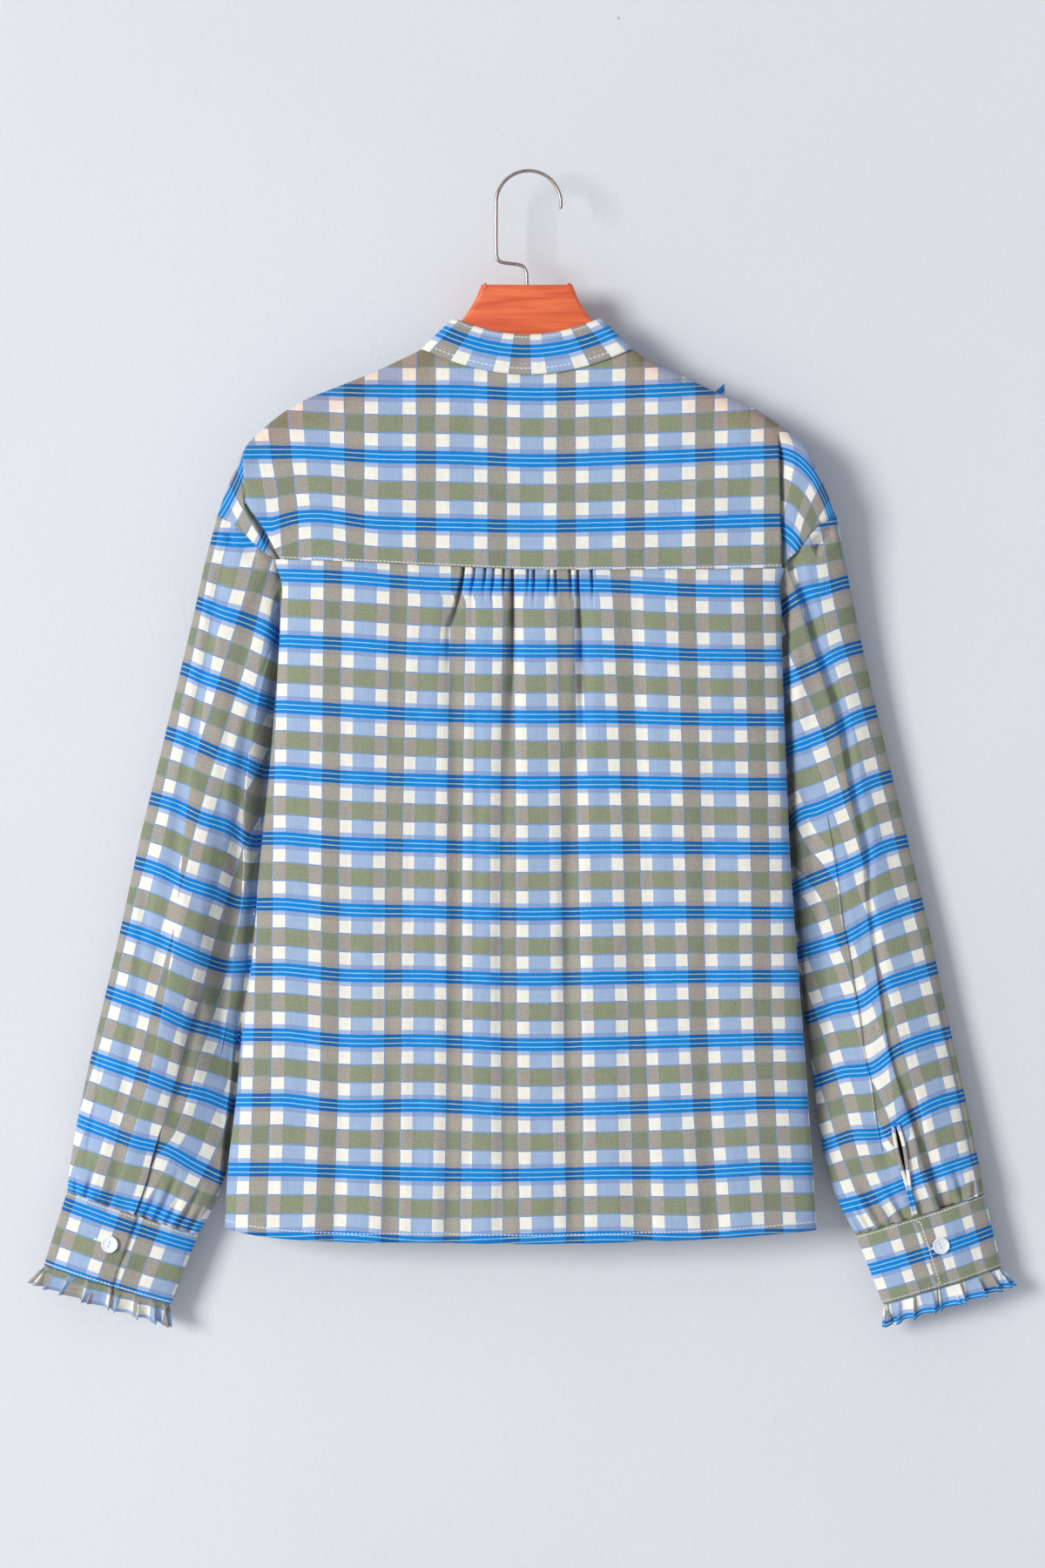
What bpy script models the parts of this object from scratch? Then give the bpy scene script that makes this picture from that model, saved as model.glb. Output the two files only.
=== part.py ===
"""Checked cotton blouse on a wooden clothes hanger, as it hangs with its back to the viewer.

+Z is up, the blouse's back faces -Y, and +X is on the right of someone who looks at the back.
The origin lies under the crown of the hook, where a rail carries the whole weight.
Lengths are millimetres until a mesh is made from them, and a drop is a height measured
downwards from the origin. Sides are named as they are seen from the back.
"""

from math import cos, pi, radians, sin

import bmesh
import bpy
import numpy as np
from mathutils import Matrix, Vector

# ---------------------------------------------------------------- driving sizes

PRODUCT = "checked_blouse"
METRE = 0.001
WELD = 0.00005  # metres
CLOTH = 1.2  # wall of one panel of shirting
TRIM = 1.0  # wall of frills, bindings and the placket
SEAM = 0.4  # clearance between two pieces that are sewn together
BOXINESS = 3.0  # exponent of the flattened body's section, where 2 is an ellipse

NECK_REACH = 79.0  # half the width of the neckline
NECK_DROP = 132.0  # where the neckline crosses the shoulder
BACK_NECK_DIP = 20.0
FRONT_NECK_DIP = 76.0
RIDGE_RADIUS = 9.0  # bend of the cloth over the hanger's arms

UPPER_END = 256.0  # drop of the shoulder's end, where yoke and sleeve meet
YOKE_FRONT_LENGTH = 42.0  # how far the yoke comes over the shoulder, at the neck
YOKE_FRONT_CORNER = 275.0  # drop of its front seam at the armhole
YOKE_BACK_CORNER = {-1: 289.0, 1: 295.0}
UNDERARM_DROP = 430.0
HEM_CORNER = {-1: 784.0, 1: 787.0}

PLACKET_WIDTH = 30.0
FRONT_BUTTONS = 6
FRONT_BUTTON_TOP = 228.0
FRONT_BUTTON_PITCH = 98.0
BUTTON_RADIUS = 6.4
BUTTON_THICKNESS = 2.2
BUTTON_LIFT = 0.6

COLLAR_OPENING = 4.0  # half the gap between the collar's front ends
COLLAR_TOP_REACH = 55.0
COLLAR_BACK_TOP = 122.0
COLLAR_SIDE_TOP = 109.0
COLLAR_FRONT_TOP = 180.0
COLLAR_TOP_BACK = 10.5
COLLAR_TOP_FRONT = 16.0

CUFF_END = 1.66  # radians round the cuff, from the outer fold to the edge that lies on top
CUFF_OVERLAP = 0.36
CUFF_RAMP = 0.55
CUFF_STEP = 1.7
BUTTON_BACK = 0.23  # radians from that edge to the button
BUTTON_DOWN = 0.46  # share of the cuff's height
FRILL_DEPTH = 16.0
FRILL_FLARE = 5.0
FRILL_WAVES = 17
FRILL_SWING = 2.2
SLIT_ANGLE = 1.72  # radians round the sleeve, from the outer fold to the slit
SLIT_TOP = 0.8  # share of the sleeve's length where the slit starts
SLIT_GAP = 3.2  # widest half opening
SLIT_CLOSED = 0.5  # half opening at the cuff
SLEEVE_HALF = 55.0  # half the sleeve's width at the slit, which turns millimetres into radians
BINDING_WIDTH = 5.0

SHOULDER_FRILL_TOP = {-1: 16.0, 1: 5.0}  # below the shoulder line
SHOULDER_FRILL_RISE = {-1: 0.0, 1: 9.0}  # of its free corner, which looks over the right shoulder
SHOULDER_FRILL_END = 400.0
SHOULDER_FRILL_WAVES = 10

WOOD_THICKNESS = 12.0
WOOD_ROUND = 3.5
WOOD_TOP = 84.0
WOOD_CLEARANCE = 2.4  # under the shoulder line: the cloth's wall and a seating gap
WIRE_RADIUS = 1.3
WIRE_INSERT = 14.0
HOOK_RADIUS = 24.2
HOLE_CLEARANCE = 0.3

# Rows and columns of the panels' faces
BENT_ROWS = 3  # round the hanger's arm
YOKE_ROWS = 4
FLAP_ROWS = 2
SIDE_ROWS = 5  # beside the armhole
HEM_ROWS = 7  # below the armhole
NECK_COLUMNS = 12
SHOULDER_SHARES = np.array((0, 0.11, 0.24, 0.39, 0.55, 0.68, 0.79, 0.87, 0.94, 1))  # from neck to armhole
TURN_COLUMNS = 5
TURN_START = 0.75  # share of the depth where the back begins to turn round its side fold
SIDE_CROWDING = 1.6  # how the fronts' columns crowd towards the side seam
PLACKET_ROWS = 14
CUFF_COLUMNS = 28

BOTH_SIDES = {"left": -1, "right": 1}


class Table:
    """Rows of sizes with named columns, read between its rows by smooth cubic arcs."""

    def __init__(self, names, *rows):
        self.names = names.split()
        self.rows = np.array(rows, float)

    def column(self, name):
        return self.rows[:, self.names.index(name)]

    def at(self, where, name):
        """The named column at `where` in the first column, from cubic arcs with centred slopes."""
        knots, values = self.rows[:, 0], self.column(name)
        slopes = np.gradient(values, knots)
        where = np.clip(where, knots[0], knots[-1])
        i = np.clip(np.searchsorted(knots, where) - 1, 0, len(knots) - 2)
        span = knots[i + 1] - knots[i]
        t = (where - knots[i]) / span
        ends = values[i] * (1 + 2 * t) * (1 - t) ** 2 + values[i + 1] * t * t * (3 - 2 * t)
        return ends + span * t * (1 - t) * (slopes[i] * (1 - t) - slopes[i + 1] * t)


# Shoulder line over the hanger: how low the cloth lies at each reach from the middle.
SHOULDER = Table(
    "reach left right",
    (0, 94, 94),
    (50, 110, 110),
    (79, 132, 132),
    (96, 140.5, 142.5),
    (112, 148, 150),
    (139, 159, 163),
    (171, 172.5, 177),
    (187, 183, 187.5),
    (200, 194.5, 197),
    (211, 207, 208.5),
    (216, 219, 221),
    (223, 234, 236),
    (231, 256, 256),
)

# Flattened body at each drop: half widths at its side folds, depths of back and front,
# and the share by which the front is narrower.
BODY = Table(
    "drop left right back front taper",
    (110, 300, 300, 9, 9, 0),
    (132, 292, 292, 9.5, 9.5, 0),
    (152, 280, 280, 11.5, 11.5, 0),
    (208, 252, 252, 15, 15.5, 0),
    (240, 239, 239, 16.3, 17.5, 0.01),
    (256, 231, 231, 17, 18.5, 0.02),
    (266, 225, 226, 17.4, 19, 0.03),
    (276, 214, 217, 17.7, 19.5, 0.04),
    (283, 203, 208, 17.9, 20, 0.05),
    (290, 191, 197, 18.2, 20.3, 0.06),
    (300, 185, 191, 18.5, 20.7, 0.07),
    (330, 184, 190, 19.3, 22, 0.10),
    (360, 185.5, 190.5, 20, 23, 0.12),
    (430, 191, 193, 21.5, 24, 0.13),
    (519, 200, 197, 22.5, 24.5, 0.13),
    (588, 205.5, 202, 23, 25, 0.12),
    (638, 212.5, 206, 23.4, 25, 0.11),
    (687, 217, 209.5, 23.8, 25.3, 0.10),
    (738, 223, 213, 24, 25.7, 0.08),
    (797, 226, 217, 24, 26, 0.07),
)

# Depth of the armhole's back and front edges at each drop; the viewer's side is negative.
ARMHOLE = Table(
    "drop back front",
    (256, 0, 0),
    (258.5, -5, 5),
    (262, -8, 8.5),
    (267, -9, 10),
    (275, -9, 10.5),
    (283, -8, 11.5),
    (290, -6.4, 12.5),
    (297, -1.5, 13.2),
    (303, 1.5, 13.9),
    (315, 3.5, 15),
    (330, 4.6, 16),
    (360, 5.6, 17),
    (395, 6.6, 16),
    (415, 7.3, 13.4),
    (430, 9, 10.4),
)

# Back yoke seam and hem across the body.
ACROSS = Table(
    "x yoke_seam hem",
    (-240, 289, 784),
    (-205, 289, 791),
    (-145, 290.5, 795.5),
    (-73, 294, 796),
    (0, 297, 797),
    (80, 297, 795.5),
    (145, 296.5, 793),
    (205, 295, 789),
    (240, 295, 787),
)

# Long folds of the back below its gathers.
FOLDS = Table(
    "x_top x_hem depth_top depth_hem",
    (-128, -140, 0.6, 2.0),
    (-92, -99, 1.2, 2.6),
    (-50, -52, 3.0, 2.4),
    (-11, -20, 3.2, 2.0),
    (40, 30, 3.0, 2.2),
    (78, 84, 1.4, 2.8),
    (122, 131, 0.6, 2.2),
)
FOLD_START = 0.05  # share of the panel's height over which the folds deepen below the yoke

# Sleeve rings from armhole to cuff: outer fold, inner fold, middle depth and half depth.
SLEEVE = Table(
    "share left_x left_drop right_x right_drop inner_x inner_drop middle depth",
    (0.00, 231.0, 256, 231.0, 256, 174, 430, 5, 9),
    (0.07, 240.5, 290, 238.0, 290, 177, 452, 9, 10),
    (0.16, 250.5, 333, 247.5, 335, 181, 480, 13, 12),
    (0.26, 262.5, 382, 259.0, 386, 187, 512, 16, 13),
    (0.37, 276.5, 440, 272.5, 443, 194, 548, 18, 14),
    (0.48, 290.5, 497, 286.5, 500, 201, 586, 19, 14),
    (0.60, 304.5, 562, 302.0, 565, 208, 627, 19, 14),
    (0.71, 318.0, 621, 314.5, 625, 214, 668, 18, 15),
    (0.82, 330.5, 676, 326.5, 680, 219, 712, 17, 16),
    (0.90, 338.5, 716, 335.0, 721, 225, 744, 16, 15),
    (0.96, 343.0, 745, 340.5, 748, 235, 773, 15, 12.5),
    (1.00, 344.5, 761, 342.5, 763, 246.5, 794, 14, 9.5),
)
SLEEVE_RINGS = (0, 0.07, 0.15, 0.25, 0.37, 0.49, 0.61, 0.72, 0.8, 0.85, 0.9, 0.95, 1)
ARMHOLE_FADE = 0.26  # share of the length where the sleeve has lost the armhole's shape

# Long creases of the sleeve's visible side, in radians round it from the outer fold.
CREASES = Table(
    "share angle depth",
    (0.05, 0.75, 0.0),
    (0.16, 0.93, 2.0),
    (0.48, 1.27, 3.0),
    (0.71, 1.43, 3.0),
    (0.90, 1.35, 2.0),
    (1.00, 1.30, 0.0),
)

# Cuff from its seam with the sleeve to its frill.
CUFF = Table(
    "share left_x left_drop right_x right_drop inner_x inner_drop middle depth",
    (0.0, 344.5, 761.0, 342.5, 763.0, 246.5, 794.0, 14, 9.5),
    (1.0, 362.0, 816.5, 356.0, 818.0, 267.0, 846.0, 14, 8.5),
)

# Ruffled strip on each front, from its top down: reach of its sewn edge, and width.
SHOULDER_FRILL = Table(
    "share reach width",
    (0.0, 136.5, 11),
    (0.12, 136.0, 17),
    (0.5, 131.0, 20),
    (1.0, 125.0, 14),
)

# Front view of the hanger's wood, one half: its upper edge to the shoulder's end, then its lower edge.
WOOD_NECK = (
    (0, 84),
    (31, 84),
    (34, 85.2),
    (35.6, 88),
    (38, 94),
    (42.5, 102),
    (49, 111),
    (61, 122.5),
    (76, 134),
)
WOOD_TIP = ((205, 206), (208.5, 211), (210, 217.5), (206, 225), (198, 224))
WOOD_LOWER = ((172, 204), (140, 187), (110, 173), (75, 160), (40, 152), (0, 149))

# Centre line of the hook's wire from its tip's end of the round bend to the wood.
HOOK_CENTRE = (1.2, 22.9)
HOOK_TIP_ANGLE = radians(-7)
HOOK_STEM = (
    (-23.0, 40),
    (-22.8, 62),
    (-21.4, 65.6),
    (-18, 67.2),
    (-7, 68.6),
    (-2.6, 70.2),
    (-0.6, 74),
    (0, 79),
)


# ---------------------------------------------------------------- the blouse's form, in millimetres


def shoulder_drop(x):
    """Drop of the shoulder line at x."""
    return np.where(x < 0, SHOULDER.at(abs(x), "left"), SHOULDER.at(abs(x), "right"))


def half_width(side, drop):
    """Half width of the body on one side."""
    return np.where(side < 0, BODY.at(drop, "left"), BODY.at(drop, "right"))


def squareness(ratio):
    """Depth, as a share of the full depth, at a share of the half width; it is its own inverse."""
    return (1 - np.clip(abs(ratio), 0, 1) ** BOXINESS) ** (1 / BOXINESS)


def on_body(x, drop, face):
    """Point of the body's back (face -1) or front (face 1), bent over the hanger at its top."""
    fall = np.clip((drop - shoulder_drop(x)) / RIDGE_RADIUS, 0, 1)
    bend = np.sqrt(1 - (1 - fall) ** 2)
    share = squareness(x / half_width(x, drop)) * bend
    depth = BODY.at(drop, "back" if face < 0 else "front")
    taper = BODY.at(drop, "taper") * share if face > 0 else 0
    return np.stack([x * (1 - taper), face * depth * share, -drop + 0 * x], -1)


def side_x(side, drop, y):
    """Distance across the body, before the front's taper, where its section has depth y."""
    depth = np.where(y < 0, BODY.at(drop, "back"), BODY.at(drop, "front"))
    return side * half_width(side, drop) * squareness(y / depth)


def side_point(side, drop, y):
    """Point of the body's section near its side fold, at depth y."""
    taper = BODY.at(drop, "taper") * np.maximum(y, 0) / BODY.at(drop, "front")
    return np.stack([side_x(side, drop, y) * (1 - taper), y, -drop + 0 * y], -1)


def armhole_point(side, drop, edge):
    """Point of the armhole's back or front edge; below the underarm it is the side seam."""
    return side_point(side, drop, ARMHOLE.at(drop, edge))


def fold_depth(x, share):
    """How far the back's long folds stand in at x, at a share of the way from yoke to hem."""
    total = 0 * x
    for x_top, x_hem, depth_top, depth_hem in FOLDS.rows:
        middle = x_top + (x_hem - x_top) * share
        depth = depth_top + (depth_hem - depth_top) * share
        total = total + depth * np.exp(-(((x - middle) / 9.0) ** 2))
    return total * (1 - np.exp(-share / FOLD_START))


def rows_down(top, bottom, straight):
    """Drops from top to bottom of each column: rows that bend round the ridge, then straight ones."""
    curve = RIDGE_RADIUS * (1 - np.cos(np.linspace(0, pi / 2, BENT_ROWS + 1)))
    start = top + curve[-1]
    even = np.linspace(0, 1, straight + 1)[1:]
    down = start[:, None] + (bottom - start)[:, None] * even
    return np.concatenate([top[:, None] + curve, down], 1)


def yoke_edge_drops(corner, straight):
    """Drops of the yoke's rows along the armhole."""
    return rows_down(np.array([UPPER_END]), np.array([corner]), straight)[0]


def panel_edge_drops(corner, bottom):
    """Drops of a body panel's rows along its armhole and side seam."""
    beside = np.linspace(corner, UNDERARM_DROP, SIDE_ROWS + 1)
    below = np.linspace(UNDERARM_DROP, bottom, HEM_ROWS + 1)[1:]
    return np.concatenate([beside, below])


def seam_gap(points, toward):
    """Points moved by the seam's clearance towards the next row."""
    step = toward - points
    return points + SEAM * step / np.linalg.norm(step, axis=-1, keepdims=True)


# ---------------------------------------------------------------- Blender objects


def clear():
    for thing in list(bpy.data.objects):
        bpy.data.objects.remove(thing)


def add_collection(name):
    made = bpy.data.collections.new(name)
    bpy.context.scene.collection.children.link(made)
    return made


def material(name, colour, roughness, metallic=0.0):
    """Principled material; colour is linear."""
    made = bpy.data.materials.new(name)
    made.use_nodes = True
    shader = made.node_tree.nodes["Principled BSDF"]
    shader.inputs["Base Color"].default_value = (*colour, 1)
    shader.inputs["Roughness"].default_value = roughness
    shader.inputs["Metallic"].default_value = metallic
    made.diffuse_color = (*colour, 1)
    return made


def put(name, mesh, finish):
    """New object in the blouse's collection with its own material."""
    thing = bpy.data.objects.new(name, mesh)
    mesh.materials.clear()
    mesh.materials.append(material(name, *finish))
    bpy.data.collections[PRODUCT].objects.link(thing)
    return thing


def sheet(name, grids, finish, wall):
    """Cloth through grids of points (columns, rows, 3), welded where they meet, with its wall inwards.

    Each grid comes with True where its outer face is the one on which the columns run to the
    right while the rows run down.
    """
    bm = bmesh.new()
    for grid, rightwards in grids:
        columns, rows = grid.shape[:2]
        verts = [bm.verts.new(Vector(point) * METRE) for point in grid.reshape(-1, 3)]
        for i in range(columns - 1):
            for j in range(rows - 1):
                a, b = i * rows + j, (i + 1) * rows + j
                corners = [verts[a], verts[a + 1], verts[b + 1], verts[b]]
                bm.faces.new(corners if rightwards else corners[::-1])
    bmesh.ops.remove_doubles(bm, verts=bm.verts, dist=WELD)
    mesh = bpy.data.meshes.new(name)
    bm.to_mesh(mesh)
    bm.free()
    thing = put(name, mesh, finish)
    thickness = thing.modifiers.new("wall", "SOLIDIFY")
    thickness.thickness = wall * METRE
    thickness.offset = -1
    return thing


FABRIC = ((0.42, 0.46, 0.52), 0.85)
FRILL = ((0.30, 0.42, 0.66), 0.85)
NACRE = ((0.88, 0.90, 0.93), 0.3)
WOOD = ((0.74, 0.14, 0.05), 0.45)
WIRE = ((0.50, 0.42, 0.40), 0.3, 1.0)


# ---------------------------------------------------------------- yoke, back, fronts and placket


def neck_x(drop):
    """Half width of the front neckline at a drop."""
    share = np.clip((drop - NECK_DROP) / FRONT_NECK_DIP, 0, 1)
    return NECK_REACH * np.sqrt(1 - share**2)


def back_neck_drop(x):
    return NECK_DROP + BACK_NECK_DIP * (1 - (x / NECK_REACH) ** 2)


def yoke():
    """Back of the yoke from armhole to armhole, and a flap over each shoulder to its front seam."""
    edges, fans = {}, {}
    for side in (-1, 1):
        edges[side] = yoke_edge_drops(YOKE_BACK_CORNER[side], YOKE_ROWS)
        reach = abs(side_x(side, edges[side], ARMHOLE.at(edges[side], "back")))
        fans[side] = [side * (NECK_REACH + (reach - NECK_REACH) * s) for s in SHOULDER_SHARES]
    middle = [np.full(len(edges[1]), x) for x in neck_columns()[1:-1]]
    x = np.array(fans[-1][::-1] + middle + fans[1])
    first = x[:, 0]
    top = np.where(abs(first) < NECK_REACH - 0.5, back_neck_drop(first), shoulder_drop(first))
    drop = rows_down(top, ACROSS.at(x[:, -1], "yoke_seam"), YOKE_ROWS)
    back = on_body(x, drop, -1)
    back[0] = armhole_point(-1, edges[-1], "back")
    back[-1] = armhole_point(1, edges[1], "back")
    flaps = [(yoke_flap(side), side < 0) for side in (-1, 1)]
    return sheet("yoke", [(back, True)] + flaps, FABRIC, CLOTH)


def yoke_front_seam(share):
    """Drop of the yoke's front seam, at a share of the way from neck to armhole."""
    inner = NECK_DROP + YOKE_FRONT_LENGTH
    return inner + (YOKE_FRONT_CORNER - inner) * share**1.15


def neck_columns():
    """Places across the back of the neckline, closer together where it goes over the shoulders."""
    return NECK_REACH * np.sin(np.linspace(-pi / 2, pi / 2, NECK_COLUMNS + 1))


def yoke_flap(side):
    """Front part of the yoke on one side, from the neck to the armhole."""
    share = SHOULDER_SHARES
    edge = yoke_edge_drops(YOKE_FRONT_CORNER, FLAP_ROWS)
    outer = abs(side_x(side, edge, ARMHOLE.at(edge, "front")))
    top = shoulder_drop(side * (NECK_REACH + (outer[0] - NECK_REACH) * share))
    drop = rows_down(top, yoke_front_seam(share), FLAP_ROWS)
    inner = neck_x(drop[0])
    flap = on_body(side * (inner + (outer - inner) * share[:, None]), drop, 1)
    flap[-1] = armhole_point(side, edge, "front")
    return flap


def back_panel():
    """Back below the yoke, which turns round each side fold to its armhole and side seam."""
    edges = {side: panel_edge_drops(YOKE_BACK_CORNER[side], HEM_CORNER[side]) for side in (-1, 1)}
    turns = {}
    for side, edge in edges.items():
        back = BODY.at(edge, "back")
        end = ARMHOLE.at(edge, "back") / back
        shares = np.linspace(0, 1, TURN_COLUMNS + 1)
        turns[side] = [side_point(side, edge, back * (-TURN_START + (end + TURN_START) * s)) for s in shares]
    span = {side: (edge - edge[0]) / (edge[-1] - edge[0]) for side, edge in edges.items()}
    inner = []
    for x_top, x_hem in long_columns():
        weight = (x_top + 180) / 360
        share = span[-1] + (span[1] - span[-1]) * weight
        x = x_top + (x_hem - x_top) * share
        top, bottom = ACROSS.at(x_top, "yoke_seam"), ACROSS.at(x_hem, "hem")
        points = on_body(x, top + (bottom - top) * share, -1)
        points[:, 1] += fold_depth(x, share)
        inner.append(points)
    for side in (-1, 1):
        for column in turns[side]:
            lower = ACROSS.at(column[:, 0], "yoke_seam") - edges[side][0]
            hem = ACROSS.at(column[:, 0], "hem") - edges[side][-1]
            column[:, 2] -= (lower * (1 - span[side]) + hem * span[side]) * (abs(column[:, 1]) > 0)
    grid = np.array(turns[-1][::-1] + inner + turns[1])
    grid[:, 0] = seam_gap(grid[:, 0], grid[:, 1])
    return sheet("back_panel", [(grid, True)], FABRIC, CLOTH)


def long_columns():
    """Top and hem positions of the back's columns: each long fold, and the crests beside it."""
    top, hem = FOLDS.column("x_top"), FOLDS.column("x_hem")
    step = 17.0
    tops = [top[0] - step]
    hems = [hem[0] - step]
    for i in range(len(top)):
        following = min(i + 1, len(top) - 1)
        last = i == len(top) - 1
        tops += [top[i], top[i] + step if last else (top[i] + top[following]) / 2]
        hems += [hem[i], hem[i] + step if last else (hem[i] + hem[following]) / 2]
    return list(zip(tops, hems))


def front_neck_drops():
    """Drops of the fronts' rows along the neckline, from the yoke's seam to the centre front."""
    start = np.arcsin(YOKE_FRONT_LENGTH / FRONT_NECK_DIP)
    return NECK_DROP + FRONT_NECK_DIP * np.sin(np.linspace(start, pi / 2, SIDE_ROWS + 1))


def front(name, side):
    """Front from the yoke's front seam and the neckline to the hem."""
    share = SHOULDER_SHARES[:, None]
    edge = panel_edge_drops(YOKE_FRONT_CORNER, HEM_CORNER[side])
    outer = abs(side_x(side, edge, ARMHOLE.at(edge, "front")))
    neck = front_neck_drops()
    hem = ACROSS.at(side * outer[-1] * SHOULDER_SHARES, "hem")
    bottom = UNDERARM_DROP + (neck[-1] - UNDERARM_DROP) * (1 - SHOULDER_SHARES) ** 2
    upper = np.linspace(0, 1, SIDE_ROWS + 1)
    beside = neck + (edge[: SIDE_ROWS + 1] - neck) * share
    beside[:, 0] = yoke_front_seam(SHOULDER_SHARES)
    beside += (bottom - beside[:, -1])[:, None] * upper**2
    below = bottom[:, None] + (hem - bottom)[:, None] * np.linspace(0, 1, HEM_ROWS + 1)[1:]
    drop = np.concatenate([beside, below], 1)
    inner = np.maximum(neck_x(drop[0]), SEAM)
    crowded = 1 - (1 - share) ** SIDE_CROWDING
    rows = np.arange(drop.shape[1])
    across = share + (crowded - share) * np.minimum(rows / 3, 1)
    grid = on_body(side * (inner + (outer - inner) * across), drop, 1)
    grid[-1] = armhole_point(side, edge, "front")
    grid[:, 0] = seam_gap(grid[:, 0], grid[:, 1])
    return sheet(name, [(grid, side < 0)], FABRIC, CLOTH)


def placket():
    """Button band over the fronts' meeting edges, from the collar to the hem."""
    drop = np.linspace(NECK_DROP + FRONT_NECK_DIP + 1, ACROSS.at(0, "hem"), PLACKET_ROWS + 1)
    x = np.linspace(-PLACKET_WIDTH / 2, PLACKET_WIDTH / 2, 3)
    grid = on_body(x[:, None] + 0 * drop, drop + 0 * x[:, None], 1)
    grid[..., 1] += TRIM + SEAM
    return sheet("placket", [(grid, False)], FABRIC, TRIM)


def button(name, centre, normal, radius=BUTTON_RADIUS):
    """Round button whose back lies at `centre`, in millimetres, facing along `normal`."""
    bpy.ops.mesh.primitive_cylinder_add(vertices=20, radius=radius * METRE, depth=BUTTON_THICKNESS * METRE)
    made = bpy.context.object
    mesh = made.data
    bpy.data.objects.remove(made)
    normal = Vector(normal).normalized()
    middle = (Vector(centre) + normal * (BUTTON_LIFT + BUTTON_THICKNESS / 2)) * METRE
    mesh.transform(Matrix.Translation(middle) @ normal.to_track_quat("Z", "Y").to_matrix().to_4x4())
    thing = put(name, mesh, NACRE)
    rounded = thing.modifiers.new("rim", "BEVEL")
    rounded.width = 0.5 * METRE
    rounded.segments = 1
    return thing


def front_buttons():
    for number in range(FRONT_BUTTONS):
        drop = FRONT_BUTTON_TOP + number * FRONT_BUTTON_PITCH
        y = BODY.at(drop, "front") + TRIM + SEAM
        button(f"front_button_{number + 1}", (0, y, -drop), (0, 1, 0))


def shoulder_frill(name, side):
    """Ruffled strip on a front, sewn on along its inner edge from the shoulder to the bust."""
    share = np.linspace(0, 1, SHOULDER_FRILL_WAVES * 3 + 1)
    reach, width = SHOULDER_FRILL.at(share, "reach"), SHOULDER_FRILL.at(share, "width")
    top = shoulder_drop(side * reach[0]) + SHOULDER_FRILL_TOP[side]
    drop = top + (SHOULDER_FRILL_END - top) * share
    out = np.array([0.0, 0.5, 1.0])[:, None]
    grid = on_body(side * (reach + width * out), drop + 0 * out, 1)
    wave = np.sin(2 * pi * SHOULDER_FRILL_WAVES * share)
    grid[..., 1] += TRIM + 2 * SEAM + out * (5.5 + 2.2 * wave)
    grid[..., 2] += out * SHOULDER_FRILL_RISE[side] * (1 - share) ** 6
    return sheet(name, [(grid, side < 0)], FRILL, TRIM)


# ---------------------------------------------------------------- collar


def neckline(side):
    """Points down the front half of the neckline on one side, from the shoulder to the centre front."""
    over = rows_down(np.array([NECK_DROP]), np.array([NECK_DROP + YOKE_FRONT_LENGTH]), FLAP_ROWS)[0]
    drop = np.concatenate([over, front_neck_drops()[1:]])
    return on_body(side * neck_x(drop), drop, 1)


def collar():
    """Band collar: its foot follows the neckline, its top leans in towards the neck."""
    x = neck_columns()
    back = on_body(x, back_neck_drop(x), -1)
    foot = np.concatenate([neckline(-1)[:0:-1], back, neckline(1)[1:]])
    forward = foot[:, 1] > 0
    below = (-foot[:, 2] - NECK_DROP) / FRONT_NECK_DIP
    swing = np.where(forward, below, np.sqrt(1 - (foot[:, 0] / NECK_REACH) ** 2)).clip(0, 1)
    top_drop = np.where(
        forward,
        COLLAR_SIDE_TOP + (COLLAR_FRONT_TOP - COLLAR_SIDE_TOP) * swing**1.4,
        COLLAR_SIDE_TOP + (COLLAR_BACK_TOP - COLLAR_SIDE_TOP) * swing**2,
    )
    top_y = np.where(forward, COLLAR_TOP_FRONT, -COLLAR_TOP_BACK) * swing**0.3
    top_x = np.sign(foot[:, 0]) * COLLAR_TOP_REACH * np.sqrt(1 - swing**2)
    top = np.stack([top_x, top_y, -top_drop], -1)
    for end, side in ((0, -1), (-1, 1)):
        foot[end, 0] = top[end, 0] = side * COLLAR_OPENING
    foot = seam_gap(foot, top)
    return sheet("collar", [(np.stack([top, (foot + top) / 2, foot], 1), True)], FABRIC, CLOTH)


# ---------------------------------------------------------------- sleeves, cuffs and frills


def ring_point(table, side, share, angle, out=0.0):
    """Point round a sleeve or cuff; angle 0 is the outer fold, and it grows over the visible side."""
    name = "left" if side < 0 else "right"
    outer = np.array([side * table.at(share, name + "_x"), -table.at(share, name + "_drop")])
    inner = np.array([side * table.at(share, "inner_x"), -table.at(share, "inner_drop")])
    middle, half = (outer + inner) / 2, (outer - inner) / 2
    across = np.cos(angle) * (1 + out / np.hypot(*half))
    y = table.at(share, "middle") - (table.at(share, "depth") + out) * np.sin(angle)
    return np.stack([middle[0] + half[0] * across, y, middle[1] + half[1] * across], -1)


def armhole_loop(side):
    """Points round the armhole from the shoulder's end, down its back to the underarm and up its front."""
    yoke_back = yoke_edge_drops(YOKE_BACK_CORNER[side], YOKE_ROWS)
    back = np.concatenate([yoke_back, panel_edge_drops(yoke_back[-1], 500)[1 : SIDE_ROWS + 1]])
    yoke_front = yoke_edge_drops(YOKE_FRONT_CORNER, FLAP_ROWS)
    front_drops = np.concatenate([yoke_front, panel_edge_drops(YOKE_FRONT_CORNER, 500)[1 : SIDE_ROWS + 1]])
    down = armhole_point(side, back, "back")
    up = armhole_point(side, front_drops[::-1], "front")
    angles = []
    for points, start in ((down, 0), (up, pi)):
        steps = np.linalg.norm(np.diff(points, axis=0), axis=1)
        along = np.concatenate([[0], np.cumsum(steps)]) / steps.sum()
        angles.append(start + along * pi)
    angles[1][0] += 0.03
    return np.concatenate(angles), np.concatenate([down, up])


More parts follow.
